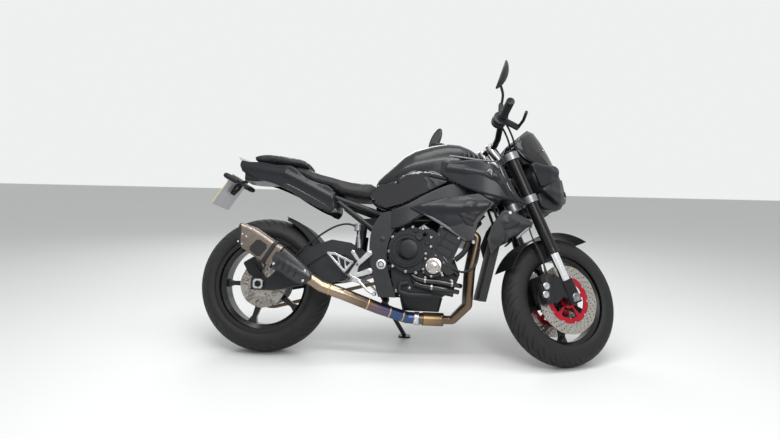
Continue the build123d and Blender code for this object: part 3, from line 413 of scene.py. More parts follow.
def panel(name, outline, out, coat, body="chassis", place=chassis, roll=6, rim=8, step=9, folds=(),
          hands=(1, -1), turn=2):
    """A panel of an outline seen from the right. out gives how far out its face stands at (x, z),
    folds are ((x, z), (x, z), height, width) ridges, and its edge rolls in and turns back by rim."""
    edge = spaced(rounded([tuple(p) for p in outline], turn), step)
    sides = list(zip(edge, edge[1:] + edge[:1]))
    lows = [min(p[k] for p in edge) for k in (0, 1)]
    highs = [max(p[k] for p in edge) for k in (0, 1)]
    flat = [Vector(p) for p in edge]
    area = sum(a[0] * b[1] - b[0] * a[1] for a, b in sides)
    for inset in (roll * 0.3, roll):
        for (x, z), before, after in zip(edge, edge[-1:] + edge[:-1], edge[1:] + edge[:1]):
            run = Vector((after[0] - before[0], after[1] - before[1])).normalized()
            normal = Vector((-run.y, run.x)) * (1 if area > 0 else -1)
            spot = Vector((x, z)) + normal * inset
            if min(line_distance(spot, a, b) for a, b in sides) > inset * 0.9:
                flat.append(spot)
    across_rows = int((highs[0] - lows[0]) / step) + 1
    up_rows = int((highs[1] - lows[1]) / step) + 1
    for i in range(across_rows):
        for j in range(up_rows):
            spot = (lows[0] + step * (i + 0.5 * (j % 2)), lows[1] + step * j)
            inside = False
            for (ax, az), (bx, bz) in sides:
                if (az > spot[1]) != (bz > spot[1]) and spot[0] < ax + (spot[1] - az) * (bx - ax) / (bz - az):
                    inside = not inside
            if inside and min(line_distance(spot, a, b) for a, b in sides) > roll + step * 0.5:
                flat.append(Vector(spot))
    count = len(edge)
    loops = [(k, (k + 1) % count) for k in range(count)]
    places, _, faces, *_ = geometry.delaunay_2d_cdt(flat, loops, [], 1, 1e-4)
    points = []
    for spot in places:
        near = min(line_distance(spot, a, b) for a, b in sides)
        share = min(1, near / roll)
        high = out(spot[0], spot[1]) - roll * (1 - math.sqrt(max(0, 1 - (1 - share) ** 2))) * 0.6
        for a, b, height, width in folds:
            high += height * max(0, 1 - line_distance(spot, a, b) / width) * share
        points.append((spot[0], -high, spot[1]))
    around = {}
    for face in faces:
        for a, b in zip(face, face[1:] + face[:1]):
            around[(a, b)] = around.get((a, b), 0) + 1
    border = [(a, b) for (a, b) in around if (b, a) not in around]
    back = {}
    for a, _ in border:
        back[a] = len(points)
        x, y, z = points[a]
        points.append((x, y + rim, z))
    faces = [tuple(face) for face in faces] + [(b, a, back[a], back[b]) for a, b in border]
    for hand in hands:
        mirrored = [(x, y * hand, z) for x, y, z in points]
        ends = {1: "_right", -1: "_left"}[hand] if len(hands) > 1 else ""
        thing = piece(name + ends, mirrored, faces, coat, body, place)


# Tank: one satin pressing whose crown runs back from the steering head to a narrow waist at the
# seat, its flanks hollowed for the knees under a crease. The panels of its sides are separate.
def flank(x, z):
    """How far out the side of the tank stands."""
    wide = between(((500, 108), (560, 128), (620, 147), (700, 160), (780, 170), (860, 176), (1000, 168)), x)
    return wide - max(0, z - 850) * 0.16


tank_rows = ((521, 812, 62, 96), (534, 842, 74, 104), (560, 870, 84, 116), (600, 908, 96, 132),
             (650, 958, 108, 148), (700, 986, 120, 162), (740, 998, 128, 170), (790, 1012, 132, 174),
             (850, 1022, 132, 174), (910, 1018, 122, 168), (960, 1000, 104, 152), (1005, 972, 84, 130))
tank_points, tank_faces = [], []
tank_shape = ((0.0, 0.0), (0.34, 0.004), (0.62, 0.03), (0.8, 0.1), (0.9, 0.2), (0.955, 0.33), (1.0, 0.5),
              (0.985, 0.72), (0.93, 1.0))
rows_fine = []
for (x, top, shoulder, half), after in zip(tank_rows, tank_rows[1:]):
    for part in range(4):
        share = part / 4
        rows_fine.append([a + (b - a) * share for a, b in zip((x, top, shoulder, half), after)])
rows_fine.append(list(tank_rows[-1]))
for x, top, shoulder, half in rows_fine:
    ring = []
    low = between(((521, 800), (600, 800), (760, 806), (1005, 850)), x)
    for side_share, drop in tank_shape:
        ring.append((x, -half * side_share, top - (top - low) * drop))
    ring = ring + [(x, -y, z) for x, y, z in reversed(ring[1:])]
    tank_points += ring
ring_size = 2 * len(tank_shape) - 1
for row in range(len(rows_fine) - 1):
    for k in range(ring_size):
        if k == len(tank_shape) - 1:
            continue
        a, b = row * ring_size + k, row * ring_size + (k + 1) % ring_size
        tank_faces.append((a, b, b + ring_size, a + ring_size))
last = (len(rows_fine) - 1) * ring_size
half_ring = len(tank_shape)
for start in (0, last):
    tank_faces.append(tuple(start + k for k in list(range(half_ring)) + list(range(half_ring, ring_size))))
tank = piece("tank_pressing", tank_points, tank_faces, tank_paint, "chassis")
rounding = tank.modifiers.new("rounding", "SUBSURF")
rounding.levels = rounding.render_levels = 1
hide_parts("fuel_tank")

panel("tank_lower_cover", ((521, 806), (545, 768), (505, 732), (512, 712), (578, 684), (668, 722),
                           (642, 745), (630, 790), (624, 832), (570, 812)),
      lambda x, z: flank(x, z) + 4 - ((z - 765) / 60) ** 2 * 9, gloss_black, roll=12, rim=22,
      folds=(((515, 742), (640, 752), 7, 30), ((634, 836), (652, 730), 8, 14)))
panel("tank_gloss_band", ((624, 834), (634, 792), (658, 800), (700, 832), (745, 848), (862, 824), (876, 830),
                          (802, 868), (760, 880), (714, 880), (676, 868)),
      lambda x, z: flank(x, z) + 4, gloss_black, roll=10, rim=20, step=6)
panel("tank_ribbed_insert", ((662, 798), (664, 768), (676, 724), (846, 812), (858, 822), (745, 844),
                             (702, 828)),
      lambda x, z: flank(x, z) + 1, satin_black, roll=4, rim=16, step=8,
      folds=(((690, 812), (700, 746), 3, 9), ((722, 826), (734, 764), 3, 9), ((756, 834), (770, 784), 3, 9),
             ((792, 830), (804, 802), 3, 9)))
for index, x in enumerate((712, 738, 764)):
    panel(f"tank_slot_{index}", ((x, 838), (x + 6, 840), (x + 30, 814), (x + 24, 811)),
          lambda x, z: flank(x, z) + 4.5, matt_black, roll=1.5, rim=5, step=5)
panel("tank_knee_flank", ((548, 806), (572, 820), (620, 840), (672, 876), (720, 890), (776, 890), (830, 872),
                          (900, 842), (930, 862), (905, 930), (800, 946), (745, 924), (700, 900), (650, 870),
                          (600, 834)),
      lambda x, z: flank(x, z) - 6 - max(0, z - 880) * 0.1, tank_paint, roll=10, rim=14)
# This light grey line along the top edge of the tank is a painted highlight of that edge, not a trim piece.
panel("tank_painted_edge_highlight", ((800, 953), (900, 943), (1000, 928), (1078, 918), (1078, 913), (1000, 921),
                         (900, 935), (800, 945)),
      lambda x, z: between(((800, 160), (900, 172), (1000, 176), (1078, 190)), x), edge_grey, roll=2, rim=10,
      step=6, turn=1)
for index, x in enumerate((922, 944, 966, 988)):
    panel(f"tank_front_rib_{index}", ((x, 982 - (x - 922) * 0.45), (x + 10, 978 - (x - 922) * 0.45),
                                      (x + 16, 948 - (x - 922) * 0.3), (x + 6, 948 - (x - 922) * 0.3)),
          lambda x, z: 160 - (z - 940) * 0.5, satin_black, roll=2, rim=8, step=6)


# Air scoops beside the tank: moulded satin shells with two folds, a gloss lip round the mouth and a
# bare round recess.
def scoop_out(x, z):
    """How far out the side of the scoop stands."""
    return between(((830, 186), (930, 214), (1050, 226), (1130, 213), (1200, 198)), x) + 1 \
        - abs(z - between(((830, 880), (1050, 838), (1200, 735)), x)) * 0.12


panel("scoop_shell", ((836, 862), (846, 902), (870, 916), (935, 914), (1010, 902), (1072, 898), (1092, 842),
                      (1112, 802), (1144, 740), (1100, 750), (1000, 772), (925, 796), (868, 828)),
      scoop_out, panel_grey, roll=9, rim=20,
      folds=(((845, 884), (1075, 846), 7, 34), ((1075, 846), (1130, 752), 7, 28)))
panel("scoop_lip", ((1080, 896), (1104, 888), (1134, 822), (1176, 748), (1198, 734), (1196, 722),
                    (1152, 738), (1118, 806), (1098, 846)),
      lambda x, z: scoop_out(x, z) + 3, gloss_black, roll=6, rim=26)
recess_x, recess_z, recess_r = 1046, 858, 26
recess_ring = [(recess_x + recess_r * math.cos(k * math.pi / 12),
                recess_z + recess_r * math.sin(k * math.pi / 12)) for k in range(24)]
panel("scoop_recess", recess_ring, lambda x, z: scoop_out(x, z) + 7, satin_black, roll=3, rim=8, step=6,
      turn=0)
panel("scoop_recess_face", [(recess_x + (x - recess_x) * 0.72, recess_z + (z - recess_z) * 0.72)
                            for x, z in recess_ring],
      lambda x, z: scoop_out(x, z) + 8.5, gloss_black, roll=5, rim=4, step=5, turn=0)


# Duct covers behind the radiator: one long moulded side with a ridge, a bright strip along its
# lower edge and a matt vent.
def duct_out(x, z):
    """How far out the side of the duct cover stands."""
    return 214 + between(((690, -8), (850, 4), (1066, -6)), x) - ((z - 690) / 70) ** 2 * 5


panel("duct_shell", ((692, 690), (750, 713), (815, 731), (900, 748), (998, 763), (1064, 722), (1040, 692),
                     (994, 630), (980, 552), (958, 547), (800, 642)),
      duct_out, panel_grey, roll=8, rim=16,
      folds=(((720, 694), (960, 700), 8, 34), ((960, 700), (1040, 712), 8, 30)))
panel("duct_strip", ((752, 662), (800, 634), (956, 541), (950, 556), (800, 648)),
      lambda x, z: duct_out(x, z) + 2, edge_grey, roll=2, rim=8, step=7, turn=1)
panel("duct_vent", ((900, 668), (1000, 690), (1024, 700), (985, 645), (972, 585), (950, 590), (930, 640)),
      lambda x, z: duct_out(x, z) + 2, matt_black, roll=5, rim=6, step=8,
      folds=(((915, 664), (985, 640), 5, 8), ((930, 640), (978, 614), 5, 8), ((945, 676), (1000, 668), 5, 8)))

# Radiator covers: faceted side wings of the radiator.
panel("radiator_wing", ((1104, 692), (1142, 692), (1240, 643), (1233, 615), (1118, 555), (1058, 494),
                        (1040, 560), (1070, 640)),
      lambda x, z: 203 + between(((1040, -4), (1130, 6), (1240, -8)), x), satin_black, roll=7, rim=18,
      folds=(((1080, 560), (1120, 640), 6, 26), ((1120, 640), (1236, 630), 6, 24)))

# Radiator core: a stack of thin flat tubes across the machine, on the face of the black core, seen
# from the front and past the wings.
core_foot = (1010, 290)
core_up = (0.218, 0.976)
tube_pitch = 13.5
core_parts = []
for row in range(26):
    up = 24 + row * tube_pitch
    x, z = core_foot[0] + core_up[0] * up + 30, core_foot[1] + core_up[1] * up - 7
    points = [(x + dx, y, z + dz) for y in (-164, 164) for dx, dz in ((0, -2.5), (5, 0), (0, 2.5), (-4, 0))]
    faces = [(k, (k + 1) % 4, 4 + (k + 1) % 4, 4 + k) for k in range(4)] + [(0, 1, 2, 3), (4, 5, 6, 7)]
    core_parts.append((points, faces))
radiator_tubes = joined("radiator_tubes", core_parts, frame_satin, "chassis", smooth=False)

# Seats: foam under black vinyl, the rider's dished between the tank and the tail, the passenger's a
# short pad. Each starts a little slim, is filled by a cloth simulation and then gets its seams.
def tube_of(rings, closed=True):
    """Points and faces of a skin over rings of one count, with a cap at each end if it is closed."""
    count = len(rings[0])
    points = [point for ring in rings for point in ring]
    faces = [(row * count + k, row * count + (k + 1) % count, (row + 1) * count + (k + 1) % count,
              (row + 1) * count + k) for row in range(len(rings) - 1) for k in range(count)]
    if closed:
        faces += [tuple(range(count)), tuple((len(rings) - 1) * count + k for k in range(count))]
    return points, faces


def rounded_ring(x, half, low, high, count, side_power, up_power):
    """A rounded-box ring of points across the machine, the squarer the smaller its two powers."""
    ring = []
    for k in range(count):
        angle = 2 * math.pi * k / count
        wide = math.copysign(abs(math.cos(angle)) ** side_power, math.cos(angle))
        rise = math.copysign(abs(math.sin(angle)) ** up_power, math.sin(angle))
        ring.append((x, half * wide, (low + high) / 2 + (high - low) / 2 * rise))
    return ring


def cushion(name, rows, cap, groove):
    """A cushion through (x, half width, top, bottom) rows, filled by cloth pressure, capped."""
    rings = [rounded_ring(x, half, low, top, 16, 0.45, 0.5) for x, half, top, low in rows]
    pad = piece(name, *tube_of(rings), vinyl, "chassis")
    pad.parent = None
    pad.matrix_world = Matrix.Identity(4)
    bpy.context.view_layer.objects.active = pad
    bpy.ops.object.select_all(action="DESELECT")
    pad.select_set(True)
    pad.data.remesh_voxel_size = 0.0055
    bpy.ops.object.voxel_remesh()
    start = [vertex.co.copy() for vertex in pad.data.vertices]
    cloth = pad.modifiers.new("stuffing", "CLOTH")
    cloth.settings.use_pressure = True
    cloth.settings.uniform_pressure_force = 4
    cloth.settings.effector_weights.gravity = 0
    cloth.settings.quality = 4
    cloth.collision_settings.use_collision = False
    for frame_number in range(1, 13):
        bpy.context.scene.frame_set(frame_number)
    filled = pad.evaluated_get(bpy.context.evaluated_depsgraph_get())
    places = [vertex.co.copy() for vertex in filled.data.vertices]
    pad.modifiers.clear()
    bpy.context.scene.frame_set(1)
    for vertex, old, new in zip(pad.data.vertices, start, places):
        shift = new - old
        if shift.length > cap:
            shift *= cap / shift.length
        vertex.co = old + shift
    back = chassis.inverted()
    for vertex in pad.data.vertices:
        spot = back @ vertex.co
        vertex.co = chassis @ Vector(groove(spot))
    for face in pad.data.polygons:
        face.use_smooth = True
    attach(pad, "chassis")
    return pad


def rider_seams(spot):
    """Sewn lines along both shoulders and across the front of the rider's seat."""
    x, y, z = spot
    edge = abs(abs(y) - between(((200, 84), (350, 80), (450, 58), (540, 34)), x))
    line = min(edge, abs(x - 268) if abs(y) < 84 else 99)
    dip = 3.5 * max(0, 1 - line / 6)
    top = between(((120, 895), (200, 868), (300, 838), (400, 817), (540, 800)), x)
    return (x, y, z - dip) if z > top - 14 else (x, y, z)


def pillion_seams(spot):
    """Sewn lines along both edges and twice across the passenger's seat."""
    x, y, z = spot
    line = min(abs(abs(y) - 58), abs(x - 30), abs(x - 120))
    dip = 3 * max(0, 1 - line / 6)
    return (x, y, z - dip) if z > 916 else (x, y, z)


rider_seat = cushion("rider_seat", (
    (540, 56, 790, 770), (520, 72, 810, 752), (489, 86, 823, 742), (446, 98, 817, 744), (400, 106, 818, 752),
    (350, 112, 827, 764), (300, 117, 839, 788), (250, 118, 850, 804), (214, 116, 863, 818),
    (180, 108, 879, 832), (150, 98, 889, 848), (120, 88, 895, 872)), 0.007, rider_seams)
cushion("pillion_seat", (
    (186, 76, 910, 886), (160, 88, 926, 888), (130, 92, 932, 892), (98, 92, 936, 896), (40, 86, 946, 904),
    (-20, 76, 952, 912), (-66, 64, 953, 920), (-92, 54, 948, 928)), 0.006, pillion_seams)
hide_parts("seats")


# Tail: a slim moulded cowl that runs up under the passenger's seat, with a satin side panel, a
# gloss lower wing and the ribs of the lamp's lens.
def tail_out(x, z):
    """How far out the side of the tail stands."""
    return between(((-180, 52), (-140, 64), (-40, 84), (80, 107), (200, 124), (330, 127)), x)


panel("tail_side", ((326, 772), (334, 690), (309, 660), (195, 734), (20, 806), (-52, 824), (-90, 836),
                    (-148, 866), (-168, 900), (-160, 926), (-110, 916), (-40, 912), (27, 896), (115, 893),
                    (180, 834), (236, 812), (300, 794)),
      tail_out, panel_grey, roll=7, rim=14,
      folds=(((318, 735), (80, 852), 6, 22), ((80, 852), (-150, 894), 6, 20)))
panel("tail_wing", ((300, 700), (330, 668), (250, 690), (150, 742), (60, 800), (90, 806), (200, 752)),
      lambda x, z: tail_out(x, z) + 1.5, gloss_black, roll=4, rim=10, step=8)
lens_half = 44
lens_parts = []
for rib in range(5):
    z = 880 + rib * 8
    points = [(x - (lens_half - abs(y)) * 0.35, y, z + dz) for y in (-lens_half, -15, 15, lens_half)
              for x, dz in ((-150, -3), (-160, 0), (-150, 3))]
    faces = [(a * 3 + k, a * 3 + k + 1, a * 3 + k + 4, a * 3 + k + 3) for a in range(3) for k in range(2)]
    lens_parts.append((points, faces))
lens = joined("tail_lens_ribs", lens_parts, tail_red, "chassis")


# Round parts: bolts, caps, bosses and rings are turned shapes with chamfered or domed ends.
def turned(centre, out, profile, sides=24):
    """Points and faces of a profile of (radius, height) turned about a direction at a centre."""
    out = Vector(out).normalized()
    along = out.orthogonal().normalized()
    other = out.cross(along)
    rings = []
    for radius, height in profile:
        ring = []
        for k in range(sides):
            angle = 2 * math.pi * k / sides
            ring.append(tuple(Vector(centre) + out * height
                              + (along * math.cos(angle) + other * math.sin(angle)) * radius))
        rings.append(ring)
    points, faces = tube_of(rings, closed=False)
    if profile[-1][0] > 0:
        faces.append(tuple(len(points) - sides + k for k in range(sides)))
    faces.append(tuple(range(sides)))
    return points, faces


def bolt(centre, out, size):
    """A flanged bolt: a washer, a head with a chamfered edge and its recess."""
    return turned(centre, out, ((size * 1.3, -2), (size * 1.3, size * 0.2), (size, size * 0.3),
                                (size, size * 0.9), (size * 0.85, size * 1.05), (size * 0.5, size * 1.05),
                                (size * 0.46, size * 0.5)), 18)


right = (0, -1, 0)
clutch_x, clutch_z = 684, 503
ignition_x, ignition_z = 805, 432
cover_bolt_places = ((662, 592), (616, 556), (603, 490), (622, 424), (681, 402), (727, 398), (768, 486),
                     (791, 518), (790, 560), (752, 598), (706, 604))
engine_bolts = [bolt((x, -178, z), right, 4.6) for x, z in cover_bolt_places]
for k in range(6):
    angle = k * math.pi / 3 + 0.35
    engine_bolts.append(bolt((ignition_x + 48 * math.cos(angle), -185, ignition_z + 48 * math.sin(angle)), right, 4))
engine_bolts += [bolt((x, -152, z), right, 4.6) for x, z in (
    (762, 404), (775, 366), (700, 330), (640, 316), (848, 470), (905, 470), (886, 372))]
engine_bolts += [bolt((x, -191, z), right, 4.6) for x, z in ((836, 610), (914, 560), (868, 650), (948, 600))]
covers_bolted = joined("engine_bolts", engine_bolts, bolt_steel, "chassis")
caps = [turned((738, -196, 560), right, ((17, -6), (17, 4), (15, 8), (9, 8), (8, 5), (0, 5)), 28),
        turned((571, -174, 545), right, ((13, -2), (13, 3), (10, 5), (0, 5)), 28),
        turned((978, -212, 548), right, ((13, -4), (13, 3), (10, 6), (5, 6), (5, 2), (0, 2)), 24)]
joined("engine_caps", caps, satin_black, "chassis")
clutch_rings = [
    turned((clutch_x, -194, clutch_z), right, ((72, -4), (72, 1), (70, 3), (66, 3), (65, 0), (56, 0),
                                               (55, 2), (50, 2), (49, -2)), 64),
    turned((694, -213, 503), right, ((41, -12), (41, 0), (38, 4), (30, 6), (16, 7), (0, 7)), 48),
    turned((ignition_x, -186, ignition_z), right, ((41, -14), (41, -4), (38, 0), (34, 1), (30, 1)), 48)]
ignition_dome = [turned((ignition_x, -184, ignition_z), right,
                        ((38, -6), (38, 2), (35, 6), (27, 8), (25, 5), (16, 5), (15, 9), (10, 11), (0, 11)), 48)]
for k in range(6):
    angle = k * math.pi / 3
    ignition_dome.append(turned((ignition_x + 31 * math.cos(angle), -190, ignition_z + 31 * math.sin(angle)),
                                right, ((4, -2), (4, 2.4), (2.6, 3.4), (0, 3.4)), 12))
ignition_dome.append(turned((862, -174, 424), right,
                            ((20, -8), (20, 2), (17, 5), (8, 6), (7, 3), (0, 3)), 36))
joined("ignition_dome", ignition_dome, cover_chrome, "chassis")
joined("cover_rings", clutch_rings, engine_satin, "chassis")
pivot_parts = [turned((569, hand * 176, 430), (0, hand, 0),
                      ((22, -3), (22, 3), (19, 5), (14, 5), (13, 2), (0, 2)), 32) for hand in (-1, 1)]
joined("pivot_rings", pivot_parts, silver, "chassis")

# Silencer: a brushed titanium sleeve of a rounded-box section with a blank black plate, an end cap
# with its bore, a dark composite cone and slotted heat shield, and the strap that holds it.
silencer_line = ((252, 352), (-72, 547))
silencer_out = 198
slope = math.atan2(silencer_line[1][1] - silencer_line[0][1], silencer_line[0][0] - silencer_line[1][0])


def box_ring(x, z, wide, tall, square):
    """A rounded-box ring across the silencer, square to its line or, where square is 0, plumb."""
    corner = 0.34
    ring = []
    for k in range(28):
        angle = 2 * math.pi * k / 28
        side_share = math.copysign(abs(math.cos(angle)) ** corner, math.cos(angle))
        up_share = math.copysign(abs(math.sin(angle)) ** corner, math.sin(angle))
        lift = tall / 2 * up_share
        ring.append((x + lift * math.sin(slope) * square, -silencer_out - wide / 2 * side_share,
                     z + lift * (math.cos(slope) if square else 1)))
    return ring


def on_line(share):
    """The (x, z) place at a share of the silencer's length."""
    a, b = silencer_line
    return a[0] + (b[0] - a[0]) * share, a[1] + (b[1] - a[1]) * share


cone_rings, sleeve_rings = [], []
for share, wide, tall in ((0.0, 60, 60), (0.06, 66, 68), (0.2, 80, 88), (0.34, 91, 104), (0.44, 96, 111),
                          (0.455, 99, 114), (0.48, 99, 114), (0.49, 96, 111), (0.7, 96, 111), (0.86, 96, 111),
                          (0.875, 99, 114)):
    x, z = on_line(share)
    (cone_rings if share < 0.45 else sleeve_rings).append(box_ring(x, z, wide, tall, 1))
x, z = on_line(0.985)
sleeve_rings.append(box_ring(x, z, 99, 96, 0))
sleeve = joined("silencer_sleeve", [tube_of(sleeve_rings)], titanium, "chassis")
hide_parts("silencer", "silencer_trim")
weave = finish("composite_weave", (0.022, 0.0225, 0.024), 0.3, 0.1, 0.0, 60, 0.3, 0.3)
cone = joined("silencer_cone", [tube_of(cone_rings)], weave, "chassis")
x, z = on_line(1.0)
cap_rings = [box_ring(x + dx, z - 6, wide, tall, 0) for dx, wide, tall in
             ((8, 100, 98), (-2, 100, 98), (-5, 95, 92), (-5, 58, 54), (6, 52, 50), (30, 46, 44), (30, 2, 2))]
end_cap = joined("silencer_end_cap", [tube_of(cap_rings, closed=False)], satin_black, "chassis")
panel("silencer_shield", ((96, 398), (84, 434), (104, 470), (140, 462), (210, 418), (262, 378), (268, 350),
                          (240, 332), (210, 324), (150, 356)),
      lambda x, z: between(((60, 250), (150, 248), (262, 232)), x), weave, roll=6, rim=22, step=7, hands=(1,),
      folds=(((100, 440), (250, 360), 4, 16),))
for index, x in enumerate((112, 138, 164, 190)):
    z = 424 - (x - 112) * 0.56
    panel(f"shield_slot_{index}", ((x - 6, z - 24), (x + 2, z - 26), (x + 14, z + 12), (x + 6, z + 16)),
          lambda x, z: between(((60, 252), (150, 252), (262, 236)), x), matt_black, roll=2, rim=4, step=5,
          hands=(1,))
rivets = []
for share in (0.9, 0.955):
    for k in (-1, 0, 1):
        x, z = on_line(share)
        rivets.append(turned((x + k * 34 * math.sin(slope), -247, z + k * 34), right,
                             ((4, -2), (4, 1), (2.5, 2.4), (0, 2.6)), 12))
for x, z, out in ((96, 410, 252), (236, 384, 240), (230, 340, 240)):
    rivets.append(bolt((x, -out, z), right, 4.5))
joined("silencer_rivets", rivets, silver, "chassis")
panel("silencer_plain_plate", ((16, 523), (66, 488), (24, 434), (-27, 473)),
      lambda x, z: 248, gloss_black, roll=1.5, rim=4, step=8, hands=(1,), turn=1)
strap_x, strap_z = on_line(0.56)
strap_rings = [box_ring(strap_x + dx * math.cos(slope), strap_z - dx * math.sin(slope),
                        100 + lift, 116 + lift, 1) for dx, lift in ((-9, 0), (-8, 4), (8, 4), (9, 0))]
joined("silencer_strap", [tube_of(strap_rings, closed=False)], satin_black, "chassis")

# Link pipe: gold weld beads ring its joints, and a clamp with its bolt holds it to the collector.
link_run = ((762, -62, 192), (690, -80, 196), (560, -128, 234), (400, -182, 292), (303, -198, 321))
weld_bead = ((25, -4), (27.6, -3), (28.8, 0), (27.6, 3), (25, 4))
ring_parts = []
for start, end, share in ((1, 2, 0.16), (1, 2, 0.62), (2, 3, 0.3), (3, 4, 0.6)):
    a, b = Vector(link_run[start]), Vector(link_run[end])
    ring_parts.append(turned(a + (b - a) * share, b - a, weld_bead, 40))
weld_gold = finish("weld_gold", (0.5, 0.34, 0.14), 0.3, 0.9, 0.2, 60)
joined("link_welds", ring_parts, weld_gold, "chassis")
clamp_parts = [turned((735, -68, 193), (1, -0.05, 0), ((27, -13), (31, -12), (31, 12), (27, 13)), 40),
               bolt((735, -98, 180), (0.3, -1, 0), 6)]
joined("link_clamp", clamp_parts, silver, "chassis")

# Front end: nose cowl in two facets on each side, two lamps with their bezels, and a small dark
# screen with its two bolts, all of them carried by the fork.
def nose_out(x, z):
    """How far out the side of the nose stands."""
    return between(((1205, 123), (1320, 123), (1380, 106), (1455, 54)), x)


panel("nose_side", ((1210, 924), (1238, 938), (1300, 930), (1360, 944), (1394, 930), (1376, 880),
                    (1330, 850), (1262, 812), (1246, 852)),
      nose_out, panel_grey, "steering", fork, roll=8, rim=14,
      folds=(((1225, 915), (1380, 905), 6, 24),))
panel("nose_cheek", ((1262, 806), (1330, 842), (1384, 874), (1416, 892), (1432, 850), (1452, 792),
                     (1424, 762), (1352, 748), (1292, 786)),
      nose_out, satin_black, "steering", fork, roll=7, rim=14,
      folds=(((1290, 800), (1410, 800), 6, 20),))
lamp_way = (1, 0, 0.05)
bezel_parts = [turned((1432, hand * 44, 812), lamp_way, ((34, -16), (34, 2), (31, 5), (28, 3), (26, -6)), 40)
               for hand in (-1, 1)]
bezels = joined("lamp_bezels", bezel_parts, satin_black, "steering", fork)
bowls = [turned((1430, hand * 44, 812), lamp_way, ((26, -8), (24, -3), (18, 1), (9, 3), (0, 3.5)), 40)
         for hand in (-1, 1)]
joined("lamp_lenses", bowls, lamp_body, "steering", fork)
screen_points, screen_faces = [], []
screen_line = (((1284, 1170), (1200, 1092), 64), ((1322, 1160), (1178, 1058), 88),
               ((1360, 1116), (1160, 1026), 94), ((1402, 1050), (1158, 992), 98),
               ((1434, 986), (1190, 958), 104), ((1440, 958), (1236, 938), 108))
for (x, z), (side_x, side_z), half in screen_line:
    for k in range(13):
        share = -1 + k / 6
        bend = abs(share) ** 1.7
        screen_points.append((x + (side_x - x) * bend, half * share, z + (side_z - z) * bend))
for row in range(len(screen_line) - 1):
    for k in range(12):
        a = row * 13 + k
        screen_faces.append((a, a + 1, a + 14, a + 13))
smoked = finish("smoked_screen", (0.008, 0.008, 0.0095), 0.24, 0.0, 0.0, 10, 0.05, 0.0, 0.3)
screen = piece("fly_screen", screen_points, screen_faces, smoked, "steering", fork)
thick = screen.modifiers.new("thickness", "SOLIDIFY")
thick.thickness = 0.003
screen_bolts = [bolt((x, y, z), (0.75, 0, 0.66), 4.5) for x, y, z in
                ((1330, -60, 1040), (1330, 60, 1040))]
joined("screen_bolts", screen_bolts, silver, "steering", fork)

# Fork: bright sliders below black outer tubes, a wiper ring between them, the pinch bolts of the
# feet, the end of the hollow axle, and the calipers' caps and shells.
def up_fork(up, out=0, forward=0):
    """A point up the fork from the front axle, in the fork's frame."""
    return (wheelbase - math.sin(caster) * up + math.cos(caster) * forward, out,
            front_radius + math.cos(caster) * up + math.sin(caster) * forward)


fork_rise = (-math.sin(caster), 0, math.cos(caster))
leg_out = 105
slider_parts, wiper_parts, foot_parts, cap_parts = [], [], [], []
for hand in (-1, 1):
    foot = up_fork(86, hand * leg_out)
    slider_parts.append(turned(foot, fork_rise, ((21.8, 0), (21.8, 139), (20, 140)), 48))
    wiper_parts.append(turned(up_fork(216, hand * leg_out), fork_rise,
                              ((22, 0), (29, 1), (30, 4), (30, 10), (28.6, 13), (28.2, 30), (28.2, 31)), 48))
    for up in (462, 682):
        wiper_parts.append(turned(up_fork(up, hand * leg_out), fork_rise,
                                  ((28.2, 0), (29, 1), (29, 6), (28.2, 7)), 48))
    wiper_parts.append(turned(up_fork(730, hand * leg_out), fork_rise,
                              ((27.5, 0), (27, 4), (20, 5), (19, 9), (13, 10), (12, 6), (0, 6)), 40))
    for forward in (-14, 14):
        foot_parts.append(bolt(up_fork(-12, hand * 127, forward), (0, hand, 0), 5))
    foot_parts.append(turned((wheelbase, hand * 128, front_radius), (0, hand, 0),
                             ((19, -6), (19, 2), (17, 4), (12, 4), (11, 0), (8, -2), (0, -2)), 36))
    for up in (339, 301):
        cap_parts.append(turned((1249 + (up - 320) * 0.16, hand * 118, up), (0, hand, 0),
                                ((16, -8), (16, 1), (14, 3), (9, 3), (8, 1), (4, 1), (3, 3), (0, 3)), 30))
joined("fork_sliders", slider_parts, polished, "steering", fork)
joined("fork_wipers", wiper_parts, black_tube, "steering", fork)
joined("fork_foot_bolts", foot_parts, clamp_grey, "steering", fork)
joined("caliper_caps", cap_parts, silver, "steering", fork)
panel("caliper_shell", ((1240, 398), (1288, 396), (1308, 356), (1310, 300), (1292, 268), (1256, 262),
                        (1236, 300), (1228, 350)),
      lambda x, z: 114 - abs(x - 1270) * 0.12, engine_satin, "steering", fork, roll=10, rim=24, step=8,
      folds=(((1262, 392), (1276, 268), 5, 14), ((1234, 330), (1306, 330), 4, 10)))

# Clamps: the top nuts of the stem and the legs' pinch bolts, in bright metal.
stem_top = up_fork(724, 0, -28.8)
clamp_parts = [turned(stem_top, fork_rise, ((20, 0), (20, 6), (17, 9), (9, 9), (8, 5), (0, 5)), 6),
               turned(stem_top, fork_rise, ((24, -1), (24, 3), (22, 4), (18, 4)), 40)]
for up in (487, 707):
    for hand in (-1, 1):
        clamp_parts.append(bolt(up_fork(up, hand * 92, -30), (-0.913, 0, -0.407), 6))
joined("clamp_nuts", clamp_parts, silver, "steering", fork)


# Mirrors: leaf-shaped heads, black shells behind a flat glass, on cranked stems.
def leaf(centre, hand, layers):
    """Rings of a leaf outline, each of a scale and a depth towards the front."""
    long_way = Vector((0.354, 0, 0.935)).normalized()
    wide_way = Vector((0.512, 0.78 * hand, 0.6)).normalized()
    front = wide_way.cross(long_way).normalized()
    wide_way = front.cross(long_way).normalized()
    if front.x < 0:
        front = -front
    rings = []
    for scale, depth in layers:
        ring = []
        for k in range(40):
            angle = 2 * math.pi * k / 40
            length = 80 * math.copysign(abs(math.cos(angle)) ** 0.85, math.cos(angle))
            width = 36 * math.sin(angle) * (1 + 0.1 * math.cos(angle)) * (1 - 0.1 * math.cos(2 * angle))
            spot = (long_way * length + wide_way * width) * scale
            ring.append(tuple(Vector(centre) + spot + front * depth))
        rings.append(ring)
    return rings


